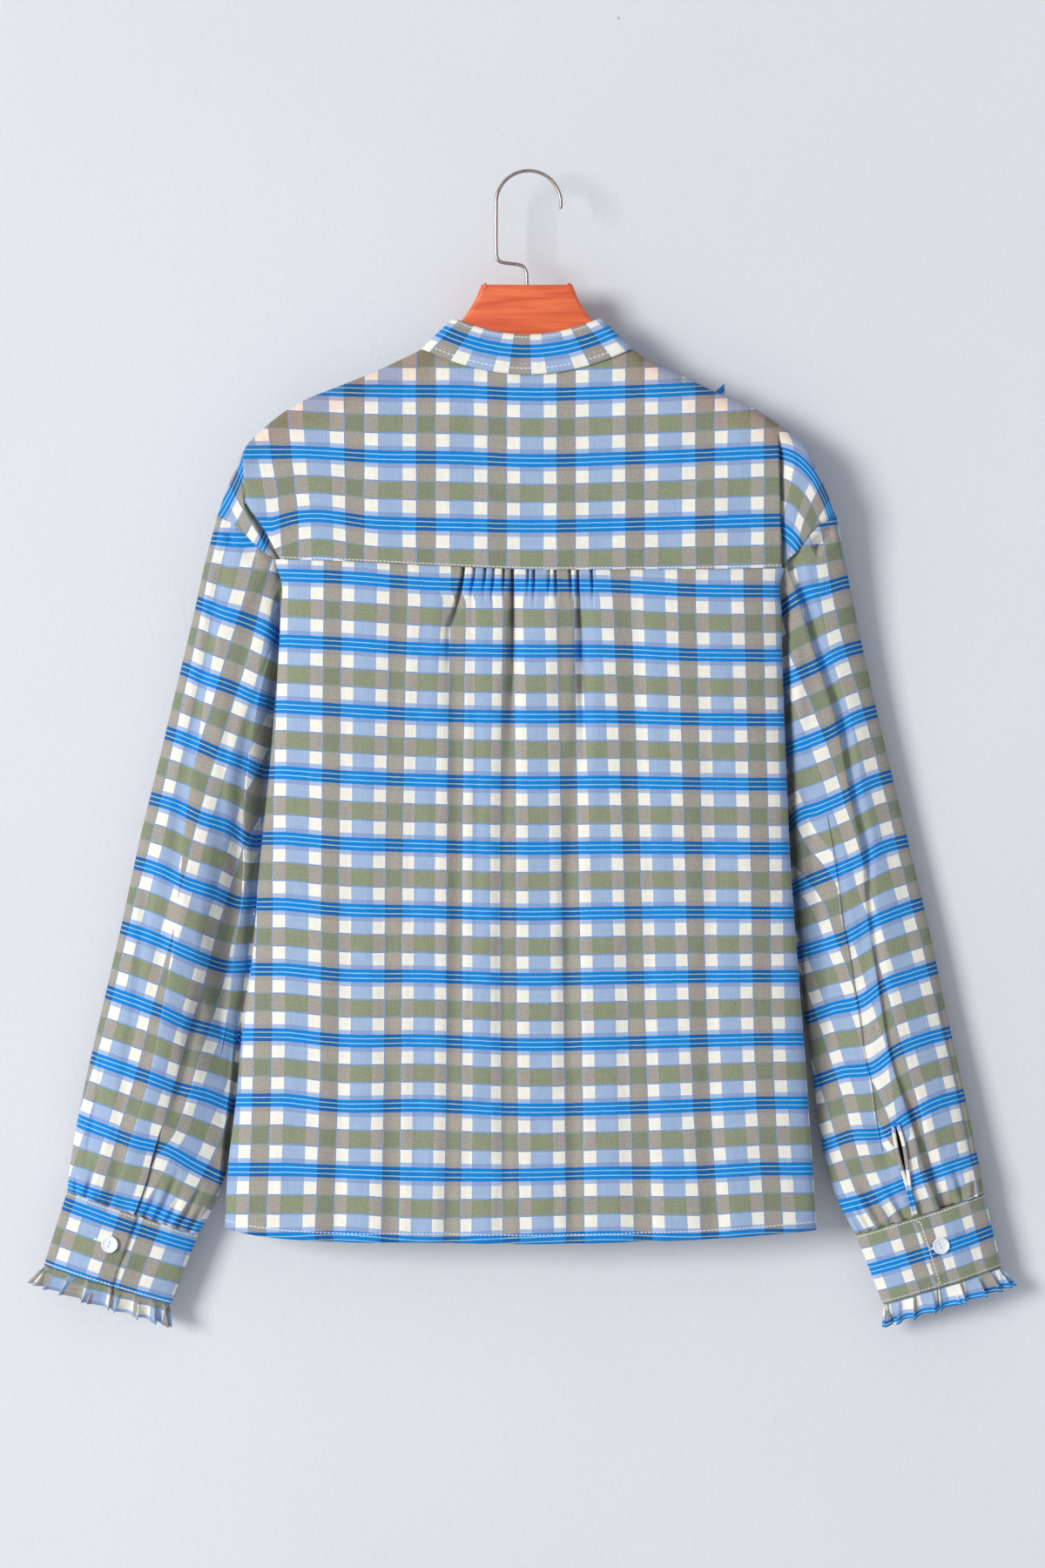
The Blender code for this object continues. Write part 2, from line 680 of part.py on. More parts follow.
def sleeve(name, side):
    """Sleeve from the armhole to the cuff, open along its slit."""
    angles, loop = armhole_loop(side)
    angles = angles[:-1]
    loop = loop[:-1]
    start = np.array([np.interp(SLIT_ANGLE, angles, loop[:, k]) for k in range(3)])
    later = angles > SLIT_ANGLE
    turn = np.concatenate([[SLIT_ANGLE], angles[later], angles[~later] + 2 * pi, [SLIT_ANGLE + 2 * pi]])
    first = np.concatenate([[start], loop[later], loop[~later], [start]])
    base = ring_point(SLEEVE, side, 0, turn)
    rings = []
    for share in SLEEVE_RINGS:
        fade = max(0, 1 - share / ARMHOLE_FADE) ** 2
        angle = turn.copy()
        opening = slit_opening(share)
        angle[0] += opening
        angle[-1] -= opening
        ring = ring_point(SLEEVE, side, share, angle) + (first - base) * fade
        ring[:, 1] += crease_depth(share, angle)
        rings.append(ring)
    grid = np.stack(rings, 1)
    grid[:, 0] = seam_gap(grid[:, 0], grid[:, 1])
    grid[:, -1] = seam_gap(grid[:, -1], grid[:, -2])
    return sheet(name, [(grid, side < 0)], FABRIC, CLOTH)


def slit_opening(share):
    """Half opening of the slit, in radians round the sleeve."""
    along = (share - SLIT_TOP) / (1 - SLIT_TOP)
    if along <= 0:
        return 0.0
    gap = SLIT_CLOSED + SLIT_GAP * sin(pi * along) * (1 - 0.45 * along)
    return gap / SLEEVE_HALF


def crease_depth(share, angle):
    """How far the sleeve's long crease stands in, round one ring."""
    middle = CREASES.at(share, "angle")
    return CREASES.at(share, "depth") * np.exp(-(((angle - middle) / 0.16) ** 2))


def cuff_turn(count):
    """Angles round a cuff from its under end to the end on top, and how far each stands out."""
    turn = np.linspace(CUFF_END - CUFF_OVERLAP, CUFF_END + 2 * pi, count + 1)
    ramp = np.clip((turn - (CUFF_END + 2 * pi - CUFF_OVERLAP - CUFF_RAMP)) / CUFF_RAMP, 0, 1)
    return turn, CUFF_STEP * ramp


def cuff(name, side):
    """Band round the wrist whose ends overlap at the slit."""
    turn, out = cuff_turn(CUFF_COLUMNS)
    rings = [ring_point(CUFF, side, share, turn, out) for share in (0.0, 0.5, 1.0)]
    grid = np.stack(rings, 1)
    return sheet(name, [(grid, side < 0)], FABRIC, CLOTH)


def cuff_frill(name, side):
    """Ruffle sewn into the cuff's lower edge, which flares and swings in small waves."""
    turn, out = cuff_turn(FRILL_WAVES * 3)
    top = ring_point(CUFF, side, 1.0, turn, out)
    upper = ring_point(CUFF, side, 0.0, turn, out)
    down = (top - upper) / np.linalg.norm(top - upper, axis=1, keepdims=True)
    outward = ring_point(CUFF, side, 1.0, turn, out + 1) - top
    wave = np.sin(FRILL_WAVES * (turn - turn[0]))[:, None]
    rings = []
    for share in (0.0, 0.55, 1.0):
        shift = FRILL_FLARE * share**1.5 + FRILL_SWING * wave * share
        rings.append(top + down * (SEAM + FRILL_DEPTH * share) + outward * shift)
    return sheet(name, [(np.stack(rings, 1), side < 0)], FRILL, TRIM)


def cuff_button(name, side):
    share = BUTTON_DOWN
    turn = CUFF_END - BUTTON_BACK
    centre = ring_point(CUFF, side, share, turn, CUFF_STEP)
    normal = ring_point(CUFF, side, share, turn, CUFF_STEP + 1) - centre
    button(name, centre, normal)


def slit_binding(name, side):
    """Bound edge round the slit, a flat strip that lies on the sleeve."""
    shares = np.linspace(0.995, SLIT_TOP + 0.005, 7)
    lift = np.array([0, -(TRIM + SEAM), 0])
    inner, outer = [], []
    for direction, order in ((1, shares), (-1, shares[::-1])):
        for share in order:
            edge = SLIT_ANGLE + direction * (slit_opening(share) + 0.004)
            rise = 0.012 if share < SLIT_TOP + 0.02 else 0.0
            far = edge + direction * BINDING_WIDTH / SLEEVE_HALF
            inner.append(ring_point(SLEEVE, side, share, edge) + lift)
            outer.append(ring_point(SLEEVE, side, share - rise, far) + lift)
    return sheet(name, [(np.stack([outer, inner], 1), side > 0)], FABRIC, TRIM)


# ---------------------------------------------------------------- hanger


def wood_outline():
    """One half of the wood's front view, clockwise from the top centre, as (x, drop) pairs."""
    outer = BODY.at(UPPER_END, "left")
    reaches = NECK_REACH + (outer - NECK_REACH) * SHOULDER_SHARES[1:7]
    arm = []
    for reach in reaches:
        low = max(SHOULDER.at(reach, "left"), SHOULDER.at(reach, "right"))
        arm.append((float(reach), float(low) + WOOD_CLEARANCE))
    return list(WOOD_NECK) + arm + list(WOOD_TIP) + list(WOOD_LOWER)


def hanger_body():
    """Flat wooden hanger with rounded edges and a hole for the hook."""
    half = wood_outline()
    outline = half + [(-x, drop) for x, drop in half[-2:0:-1]]
    curve = bpy.data.curves.new("hanger_outline", "CURVE")
    curve.dimensions = "2D"
    curve.fill_mode = "BOTH"
    curve.extrude = (WOOD_THICKNESS / 2 - WOOD_ROUND) * METRE
    curve.bevel_depth = WOOD_ROUND * METRE
    curve.bevel_resolution = 1
    curve.offset = -WOOD_ROUND * METRE
    spline = curve.splines.new("POLY")
    spline.points.add(len(outline) - 1)
    for point, (x, drop) in zip(spline.points, outline):
        point.co = (x * METRE, -drop * METRE, 0, 1)
    spline.use_cyclic_u = True
    flat = bpy.data.objects.new("hanger_flat", curve)
    bpy.data.collections[PRODUCT].objects.link(flat)
    bpy.context.view_layer.update()
    mesh = bpy.data.meshes.new_from_object(flat.evaluated_get(bpy.context.evaluated_depsgraph_get()))
    bpy.data.objects.remove(flat)
    mesh.transform(Matrix.Rotation(pi / 2, 4, "X"))
    bm = bmesh.new()
    bm.from_mesh(mesh)
    bmesh.ops.remove_doubles(bm, verts=bm.verts, dist=WELD)
    bmesh.ops.recalc_face_normals(bm, faces=bm.faces)
    bm.to_mesh(mesh)
    bm.free()
    thing = put("hanger_body", mesh, WOOD)
    hole = thing.modifiers.new("hook_hole", "BOOLEAN")
    hole.object = hole_cutter()
    hole.operation = "DIFFERENCE"
    return thing


def hole_cutter():
    """Drill for the hook's hole, from above the wood's top."""
    above = 5.0
    depth = WIRE_INSERT + HOLE_CLEARANCE + above
    bpy.ops.mesh.primitive_cylinder_add(
        vertices=16,
        radius=(WIRE_RADIUS + HOLE_CLEARANCE) * METRE,
        depth=depth * METRE,
        location=(0, 0, (-WOOD_TOP + above - depth / 2) * METRE),
    )
    cutter = bpy.context.object
    cutter.name = "hook_hole_cutter"
    for owner in list(cutter.users_collection):
        owner.objects.unlink(cutter)
    add_collection("cutters").objects.link(cutter)
    cutter.hide_render = True
    cutter.display_type = "WIRE"
    return cutter


def hanger_hook():
    """Round wire hook: an open circle on a cranked stem that goes into the wood."""
    turn = np.linspace(HOOK_TIP_ANGLE, pi + 0.12, 22)
    path = [(HOOK_CENTRE[0] + HOOK_RADIUS * cos(a), HOOK_CENTRE[1] - HOOK_RADIUS * sin(a)) for a in turn]
    path += list(HOOK_STEM) + [(0, WOOD_TOP + WIRE_INSERT)]
    curve = bpy.data.curves.new("hook_wire", "CURVE")
    curve.dimensions = "3D"
    curve.bevel_depth = WIRE_RADIUS * METRE
    curve.bevel_resolution = 2
    curve.use_fill_caps = True
    spline = curve.splines.new("POLY")
    spline.points.add(len(path) - 1)
    for point, (x, drop) in zip(spline.points, path):
        point.co = (x * METRE, 0, -drop * METRE, 1)
    curve.materials.append(material("hanger_hook", *WIRE))
    thing = bpy.data.objects.new("hanger_hook", curve)
    bpy.data.collections[PRODUCT].objects.link(thing)
    return thing


# ---------------------------------------------------------------- the whole


def build():
    clear()
    add_collection(PRODUCT)
    hanger_body()
    hanger_hook()
    collar()
    yoke()
    back_panel()
    placket()
    front_buttons()
    for name, side in BOTH_SIDES.items():
        front("front_" + name, side)
        shoulder_frill("shoulder_frill_" + name, side)
        sleeve("sleeve_" + name, side)
        slit_binding("slit_binding_" + name, side)
        cuff("cuff_" + name, side)
        cuff_button("cuff_button_" + name, side)
        cuff_frill("cuff_frill_" + name, side)


build()
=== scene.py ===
"""Checked cotton blouse on a wooden clothes hanger: its shown cloth, trims, wood and wire, and a plain stage.

The CAD model is loaded first and gives the frame: metres, +Z up, the blouse's back faces -Y and
+X is on the right of someone who looks at the back. The origin lies under the crown of the hook.
Sizes in the tables are millimetres, and a drop is a height measured downwards from the origin.
Places in the woven check are counted in repeats: whole numbers across are the middles of the
taupe stripes, and whole numbers down are the middles of the blue bands.
"""

from math import cos, pi, radians, sin
from typing import NamedTuple

import bmesh
import bpy
import numpy as np
from bpy.props import FloatProperty, PointerProperty
from mathutils import Matrix, Vector


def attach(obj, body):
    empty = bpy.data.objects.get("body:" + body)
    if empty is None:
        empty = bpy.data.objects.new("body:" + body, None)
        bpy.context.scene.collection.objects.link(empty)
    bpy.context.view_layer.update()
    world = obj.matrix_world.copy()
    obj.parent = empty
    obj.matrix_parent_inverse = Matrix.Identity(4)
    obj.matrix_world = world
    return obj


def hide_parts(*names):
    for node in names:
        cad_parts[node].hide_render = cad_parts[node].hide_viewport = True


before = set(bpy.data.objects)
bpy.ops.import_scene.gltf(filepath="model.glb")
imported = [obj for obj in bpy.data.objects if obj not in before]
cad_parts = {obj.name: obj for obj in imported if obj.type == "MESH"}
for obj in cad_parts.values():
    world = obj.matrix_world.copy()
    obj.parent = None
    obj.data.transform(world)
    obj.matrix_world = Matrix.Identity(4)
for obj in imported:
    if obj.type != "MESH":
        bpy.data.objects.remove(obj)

bl_info = {
    "name": "Checked blouse on a hanger",
    "version": (1, 0, 0),
    "blender": (4, 5, 0),
    "location": "3D View > Sidebar > Blouse",
    "description": "Builds a checked cotton blouse that hangs on a wooden hanger with its back to the viewer",
    "category": "Object",
}

# ---------------------------------------------------------------- driving sizes, in millimetres

METRE = 0.001
WELD = 0.00002  # metres
BOXINESS = 3.0  # exponent of the flattened body's section, where 2 is an ellipse
REPEAT_ACROSS = 52.0  # woven check
REPEAT_DOWN = 48.8
NO_STITCH = 99.0

NECK_REACH = 79.0  # half the width of the neckline
NECK_DROP = 132.0
BACK_NECK_DIP = 20.0
FRONT_NECK_DIP = 76.0
RIDGE_RADIUS = 9.0  # bend of the cloth over the hanger's arms
UPPER_END = 256.0  # drop of the shoulder's end
YOKE_FRONT_LENGTH = 42.0
YOKE_FRONT_CORNER = 275.0
YOKE_BACK_CORNER = {-1: 289.0, 1: 295.0}
UNDERARM_DROP = 430.0
HEM_CORNER = {-1: 784.0, 1: 787.0}
TURN_START = 0.75  # share of the depth where the back begins to turn round its side fold

PLACKET_WIDTH = 30.0
FRONT_BUTTONS = 6
FRONT_BUTTON_TOP = 228.0
FRONT_BUTTON_PITCH = 98.0

COLLAR_TOP_REACH = 55.0
COLLAR_BACK_TOP = 122.0
COLLAR_SIDE_TOP = 109.0
COLLAR_FRONT_TOP = 180.0

CUFF_END = 1.66  # radians round the cuff, from the outer fold to the edge that lies on top
CUFF_OVERLAP = 0.36
CUFF_RAMP = 0.55
CUFF_STEP = 1.7
BUTTON_BACK = 0.23
BUTTON_DOWN = 0.46
FRILL_DEPTH = 16.0
FRILL_WAVES = 17
SLIT_TOP = 0.85
SHOULDER_FRILL_TOP = {-1: 16.0, 1: 5.0}
SHOULDER_FRILL_RISE = {-1: 0.0, 1: 9.0}
SHOULDER_FRILL_END = 400.0
SHOULDER_FRILL_WAVES = 10

WOOD_THICKNESS = 12.0
WOOD_ROUND = 3.5
WIRE_RADIUS = 1.3
HOOK_CENTRE = (1.2, 22.9)
HOOK_RADIUS = 24.2

VIEW_ACROSS, VIEW_DOWN, VIEW_AWAY = -3.3, 456.3, 3000.0  # where the viewer stands
BOTH_SIDES = {"left": -1, "right": 1}


class Table:
    """Rows of sizes with named columns, read between its rows by smooth cubic arcs."""

    def __init__(self, names, *rows):
        self.names = names.split()
        self.rows = np.array(rows, float)

    def column(self, name):
        return self.rows[:, self.names.index(name)]

    def at(self, where, name):
        """The named column at `where` in the first column, from cubic arcs with centred slopes."""
        knots, values = self.rows[:, 0], self.column(name)
        slopes = np.gradient(values, knots)
        where = np.clip(where, knots[0], knots[-1])
        i = np.clip(np.searchsorted(knots, where) - 1, 0, len(knots) - 2)
        span = knots[i + 1] - knots[i]
        t = (where - knots[i]) / span
        ends = values[i] * (1 + 2 * t) * (1 - t) ** 2 + values[i + 1] * t * t * (3 - 2 * t)
        return ends + span * t * (1 - t) * (slopes[i] * (1 - t) - slopes[i + 1] * t)

    def all_at(self, where):
        """Every column after the first, stacked in front."""
        return np.stack([self.at(where, name) for name in self.names[1:]])


# Shoulder line over the hanger: how low the cloth lies at each reach from the middle.
SHOULDER = Table(
    "reach left right",
    (0, 94, 94),
    (50, 110, 110),
    (79, 132, 132),
    (96, 140.5, 142.5),
    (112, 148, 150),
    (139, 159, 163),
    (171, 172.5, 177),
    (187, 183, 187.5),
    (200, 194.5, 197),
    (211, 207, 208.5),
    (216, 219, 221),
    (223, 234, 236),
    (231, 256, 256),
)

# Flattened body at each drop: half widths at its side folds, depths of back and front,
# and the share by which the front is narrower.
BODY = Table(
    "drop left right back front taper",
    (110, 300, 300, 9, 9, 0),
    (132, 292, 292, 9.5, 9.5, 0),
    (152, 280, 280, 11.5, 11.5, 0),
    (208, 252, 252, 15, 15.5, 0),
    (240, 239, 239, 16.3, 17.5, 0.01),
    (256, 231, 231, 17, 18.5, 0.02),
    (266, 225, 226, 17.4, 19, 0.03),
    (276, 214, 217, 17.7, 19.5, 0.04),
    (283, 203, 208, 17.9, 20, 0.05),
    (290, 191, 197, 18.2, 20.3, 0.06),
    (300, 185, 191, 18.5, 20.7, 0.07),
    (330, 184, 190, 19.3, 22, 0.10),
    (360, 185.5, 190.5, 20, 23, 0.12),
    (430, 191, 193, 21.5, 24, 0.13),
    (519, 200, 197, 22.5, 24.5, 0.13),
    (588, 205.5, 202, 23, 25, 0.12),
    (638, 212.5, 206, 23.4, 25, 0.11),
    (687, 217, 209.5, 23.8, 25.3, 0.10),
    (738, 223, 213, 24, 25.7, 0.08),
    (797, 226, 217, 24, 26, 0.07),
)

# Depth of the armhole's back and front edges at each drop; the viewer's side is negative.
ARMHOLE = Table(
    "drop back front",
    (256, 0, 0),
    (258.5, -5, 5),
    (262, -8, 8.5),
    (267, -9, 10),
    (275, -9, 10.5),
    (283, -8, 11.5),
    (290, -6.4, 12.5),
    (297, -1.5, 13.2),
    (303, 1.5, 13.9),
    (315, 3.5, 15),
    (330, 4.6, 16),
    (360, 5.6, 17),
    (395, 6.6, 16),
    (415, 7.3, 13.4),
    (430, 9, 10.4),
)

# Back yoke seam and hem across the body.
ACROSS = Table(
    "x yoke_seam hem",
    (-240, 289, 784),
    (-205, 289, 791),
    (-145, 290.5, 795.5),
    (-73, 294, 796),
    (0, 297, 797),
    (80, 297, 795.5),
    (145, 296.5, 793),
    (205, 295, 789),
    (240, 295, 787),
)

# Soft upright folds of the back below its gathers.
SOFT_FOLDS = Table(
    "x_top x_hem depth_top depth_hem width",
    (-128, -140, 0.6, 2.6, 9),
    (-99, -104, 1.4, 3.0, 8),
    (-80, -86, 1.4, 1.4, 6),
    (-52, -56, 3.4, 2.8, 7),
    (-39, -42, 1.9, 0.6, 5),
    (-11, -20, 4.0, 2.6, 6.5),
    (29, 24, 1.6, 1.0, 6),
    (39, 31, 3.8, 3.0, 6.5),
    (75, 80, 1.4, 2.8, 8),
    (86, 92, 1.4, 1.4, 6),
    (131, 140, 0.8, 2.6, 9),
)

# Sharp gathers under the yoke's seam: how far each wanders before it fades, and its size.
GATHERS = Table(
    "x wander length depth width",
    (-47, -11, 46.2, 9.0, 0.9),
    (-39, -2, 16.5, 6.9, 0.8),
    (-31, -1, 13.2, 6.6, 0.8),
    (-24.7, -1, 16.5, 6.9, 0.8),
    (-17.3, 0, 12.1, 6.0, 0.8),
    (-10.8, 0, 93.5, 9.0, 0.9),
    (0.6, 0, 12.1, 6.0, 0.8),
    (5.2, 0, 15.4, 6.6, 0.8),
    (16.3, 0, 13.2, 6.0, 0.8),
    (21, 1, 16.5, 6.6, 0.8),
    (31.9, 1, 13.2, 6.6, 0.8),
    (37.7, 5, 110, 9.0, 0.9),
    (48, 1, 15.4, 6.6, 0.8),
)
CLOTH_IN_GATHER = 0.36  # cloth taken up by a gather, as a share of its depth

# Middles of four of the ten blue bands down the back, for each place across it; the rest lie evenly between.
BACK_BANDS = Table(
    "x b0 b5 b8 b9",
    (-180, 300.5, 546, 692, 744),
    (-140, 302, 550, 696.5, 745.5),
    (-80, 306.5, 551.5, 696, 747.5),
    (0, 308, 553.5, 699.5, 748),
    (60, 308.5, 552.5, 698.5, 746.5),
    (130, 312, 552, 696, 746),
    (175, 312.5, 552.5, 694, 743.5),
)
BACK_BANDS_KNOWN = (0, 5, 8, 9)

# Middles of the taupe stripes across the back, for each place down it in repeats.
BACK_STRIPES = Table(
    "band s0 s1 s2 s3 s4 s5 s6 s7 s8",
    (0, -193, -145, -95.5, -50.5, -12.5, 28, 70.5, 119, 168.5),
    (4, -196, -146.5, -99, -53.5, -14.5, 32, 78, 124, 173.5),
    (8, -198, -148, -100.5, -54, -13.5, 35, 84, 130.5, 178),
    (10, -201.5, -151.5, -102, -56, -12, 36, 87, 137, 184.5),
)

YOKE_BANDS = Table(
    "x b1 b2 b3",
    (-190, 159, 208.5, 262.5),
    (-175, 160.5, 208.5, 258),
    (-110, 163, 212, 261.5),
    (-50, 163.5, 213, 263),
    (0, 165.5, 215, 264),
    (80, 163.5, 213, 262.5),
    (185, 158.5, 208.5, 259.5),
)
YOKE_STRIPES = Table(
    "drop s_1 s0 s1 s2 s3 s4 s5 s6",
    (110, -188.0, -128.7, -75.4, -22.0, 29.3, 80.6, 133.0, 184.0),
    (198, -184.7, -128.7, -75.4, -22.0, 29.3, 80.6, 133.0, 184.0),
    (249, -178.4, -128.7, -75.4, -22.0, 29.3, 80.6, 133.0, 184.0),
    (290, -176.2, -128.7, -75.4, -22.0, 29.3, 80.6, 133.0, 184.0),
)

# Places on the shoulder's end, outside its crease, and where the check lies there, in stripes and bands.
SHOULDER_END = {
    -1: Table(
        "x drop stripe band",
        (-211.9, 219.7, -1.70, 2.0),
        (-214.5, 228.8, -1.90, 2.0),
        (-219.1, 236.6, -2.12, 2.0),
        (-224.3, 244.4, -2.33, 2.0),
        (-228.8, 254.8, -2.56, 2.0),
        (-208.7, 232.7, -1.77, 2.258),
        (-211.3, 242.5, -2.0, 2.258),
        (-215.8, 252.9, -2.233, 2.258),
        (-205.4, 249.6, -2.0, 2.5),
        (-211.9, 260.7, -2.233, 2.5),
        (-204.8, 270.4, -2.25, 2.742),
        (-200.9, 261.3, -2.0, 2.742),
        (-197.6, 278.2, -2.2, 3.0),
    ),
    1: Table(
        "x drop stripe band",
        (187.2, 210.6, 6.06, 2.0),
        (202.2, 213.2, 6.35, 2.0),
        (207.4, 217.8, 6.49, 2.0),
        (215.2, 230.1, 6.78, 2.0),
        (219.7, 238.6, 6.96, 2.0),
        (224.3, 247.7, 7.16, 2.0),
        (228.2, 258.1, 7.36, 2.0),
        (196.3, 226.2, 6.233, 2.258),
        (204.8, 230.1, 6.5, 2.258),
        (211.3, 241.8, 6.767, 2.258),
        (193.1, 236.6, 6.233, 2.5),
        (200.2, 240.5, 6.5, 2.5),
        (207.4, 245.7, 6.767, 2.5),
        (212.6, 260.0, 7.0, 2.5),
        (221.0, 261.3, 7.233, 2.3),
        (197.0, 252.2, 6.5, 2.742),
        (202.8, 261.3, 6.767, 2.742),
        (207.4, 269.1, 7.0, 2.742),
        (213.9, 275.6, 7.233, 2.742),
        (193.0, 268.0, 6.45, 3.0),
        (200.9, 277.6, 6.8, 3.0),
    ),
}
SHOULDER_CREASE = {-1: (211.9, 183.3), 1: (187.5, 190.0)}  # reach at the ridge and at the seam

# Sleeve rings from armhole to cuff: outer fold, inner fold, middle depth and half depth.
SLEEVE = Table(
    "share left_x left_drop right_x right_drop inner_x inner_drop middle depth",
    (0.00, 231.0, 256, 231.0, 256, 174, 430, 5, 9),
    (0.07, 240.5, 290, 238.0, 290, 177, 452, 9, 10),
    (0.16, 250.5, 333, 247.5, 335, 181, 480, 13, 12),
    (0.26, 262.5, 382, 259.0, 386, 187, 512, 16, 13),
    (0.37, 276.5, 440, 272.5, 443, 194, 548, 18, 14),
    (0.48, 290.5, 497, 286.5, 500, 201, 586, 19, 14),
    (0.60, 304.5, 562, 302.0, 565, 208, 627, 19, 14),
    (0.71, 318.0, 621, 314.5, 625, 214, 668, 18, 15),
    (0.82, 330.5, 676, 326.5, 680, 219, 712, 17, 16),
    (0.90, 338.5, 716, 335.0, 721, 225, 744, 16, 15),
    (0.96, 343.0, 745, 340.5, 748, 235, 773, 15, 12.5),
    (1.00, 344.5, 761, 342.5, 763, 246.5, 794, 14, 9.5),
)
ARMHOLE_FADE = 0.26
GAP_BESIDE_BODY = 6.0

# Share of the sleeve's length at which each blue band lies, for each share across its visible side.
SLEEVE_BANDS = {
    -1: Table(
        "across b0 b1 b2 b3 b4 b5 b6 b7 b8 b9 b10",
        (0.0, 0.034, 0.134, 0.235, 0.328, 0.422, 0.514, 0.603, 0.692, 0.790, 0.884, 0.989),
        (0.2, -0.031, 0.083, 0.194, 0.295, 0.393, 0.493, 0.590, 0.686, 0.788, 0.888, 0.989),
        (0.4, -0.105, 0.023, 0.142, 0.258, 0.367, 0.476, 0.579, 0.681, 0.787, 0.893, 0.988),
        (0.6, -0.178, -0.040, 0.083, 0.210, 0.330, 0.449, 0.567, 0.679, 0.788, 0.893, 0.986),
        (0.8, -0.252, -0.103, 0.008, 0.153, 0.297, 0.420, 0.546, 0.669, 0.783, 0.908, 0.989),
        (1.0, -0.326, -0.167, -0.060, 0.056, 0.212, 0.361, 0.500, 0.661, 0.787, 0.921, 0.990),
    ),
    1: Table(
        "across b0 b1 b2 b3 b4 b5 b6 b7 b8 b9",
        (0.0, 0.100, 0.196, 0.290, 0.384, 0.478, 0.565, 0.652, 0.744, 0.838, 0.933),
        (0.2, 0.045, 0.149, 0.253, 0.354, 0.453, 0.550, 0.643, 0.738, 0.837, 0.937),
        (0.4, -0.016, 0.103, 0.218, 0.328, 0.435, 0.536, 0.635, 0.738, 0.846, 0.942),
        (0.6, -0.074, 0.041, 0.169, 0.292, 0.409, 0.526, 0.639, 0.751, 0.861, 0.949),
        (0.8, -0.135, -0.033, 0.108, 0.247, 0.377, 0.503, 0.625, 0.740, 0.853, 0.957),
        (1.0, -0.196, -0.105, 0.053, 0.236, 0.342, 0.474, 0.615, 0.740, 0.861, 0.960),
    ),
}

STRIPE_PLACES = ("outer", "before", "after", "ahead", "past", "inner")
# Stripes counted inwards: on the outer fold, on both sides of the outer and of the inner crease, and on the
# inner fold.
SLEEVE_STRIPES = {
    -1: Table(
        "share outer before after ahead past inner",
        (0, 0.05, 0.1, 0.2, 1.1, 1.1, 2.15),
        (0.2, 0, 0.45, 0.7, 1.55, 1.7, 2.45),
        (0.45, -0.05, 0.7, 1.05, 2.1, 2.4, 2.8),
        (0.6, 0, 0.95, 1.3, 2.25, 2.45, 2.8),
        (0.7, 0, 1.05, 1.4, 2.4, 2.4, 2.8),
        (0.8, 0.05, 1.1, 1.4, 2.6, 2.6, 2.95),
        (1, 0.35, 1.05, 1.4, 2.95, 2.95, 3.25),
    ),
    1: Table(
        "share outer before after ahead past inner",
        (0, -0.15, 0.25, 0.5, 1.05, 1.05, 1.85),
        (0.2, -0.1, 0.5, 0.9, 1.3, 1.3, 2.15),
        (0.3, -0.05, 0.6, 1, 1.4, 1.4, 2.35),
        (0.45, -0.05, 0.7, 1.15, 1.6, 1.85, 2.8),
        (0.55, -0.05, 0.85, 1.4, 1.75, 2, 2.95),
        (0.8, 0, 1.1, 1.55, 1.95, 2.4, 3.3),
        (0.9, 0, 1, 1.1, 2.45, 2.45, 3.45),
        (1, 0, 0.9, 1.05, 2.65, 2.65, 3.5),
    ),
}

# Long creases of each sleeve, its slit's line, and the repeats of cloth that each crease hides.
OUTER_CREASE = {
    -1: Table(
        "share across hidden",
        (0.0, 0.02, 0.1),
        (0.108, 0.115, 0.20),
        (0.194, 0.205, 0.32),
        (0.288, 0.255, 0.36),
        (0.384, 0.290, 0.37),
        (0.476, 0.350, 0.42),
        (0.580, 0.390, 0.43),
        (0.682, 0.410, 0.43),
        (0.786, 0.410, 0.41),
        (0.886, 0.370, 0.38),
        (1.0, 0.33, 0.30),
    ),
    1: Table(
        "share across hidden",
        (0.0, 0.2, 0.2),
        (0.122, 0.310, 0.28),
        (0.230, 0.325, 0.32),
        (0.340, 0.350, 0.38),
        (0.436, 0.360, 0.43),
        (0.500, 0.410, 0.42),
        (0.538, 0.425, 0.43),
        (0.638, 0.450, 0.47),
        (0.748, 0.455, 0.50),
        (0.840, 0.405, 0.45),
        (1.0, 0.35, 0.42),
    ),
}
INNER_CREASE = {
    -1: Table(
        "share across hidden",
        (0.0, 0.47, 0.0),
        (0.044, 0.520, 0.05),
        (0.166, 0.610, 0.15),
        (0.272, 0.680, 0.2),
        (0.356, 0.755, 0.27),
        (0.412, 0.790, 0.3),
        (0.508, 0.805, 0.34),
        (0.570, 0.825, 0.3),
        (0.65, 0.84, 0.1),
        (0.72, 0.84, 0.0),
        (1.0, 0.84, 0.0),
    ),
    1: Table(
        "share across hidden",
        (0.0, 0.55, 0.0),
        (0.30, 0.55, 0.0),
        (0.38, 0.56, 0.10),
        (0.444, 0.580, 0.25),
        (0.496, 0.600, 0.25),
        (0.554, 0.600, 0.31),
        (0.610, 0.610, 0.35),
        (0.668, 0.610, 0.35),
        (0.718, 0.625, 0.33),
        (0.776, 0.610, 0.30),
        (0.832, 0.615, 0.18),
        (0.87, 0.617, 0.06),
        (0.9, 0.62, 0.0),
        (1.0, 0.63, 0.0),
    ),
}
SLIT_LINE = {
    -1: Table(
        "share across",
        (0, 0.33),
        (0.2, 0.45),
        (0.4, 0.57),
        (0.6, 0.64),
        (0.708, 0.635),
        (0.794, 0.615),
        (0.852, 0.555),
        (1.0, 0.520),
    ),
    1: Table(
        "share across",
        (0, 0.40),
        (0.2, 0.45),
        (0.4, 0.47),
        (0.6, 0.53),
        (0.8, 0.53),
        (0.858, 0.505),
        (0.934, 0.510),
        (1.0, 0.545),
    ),
}
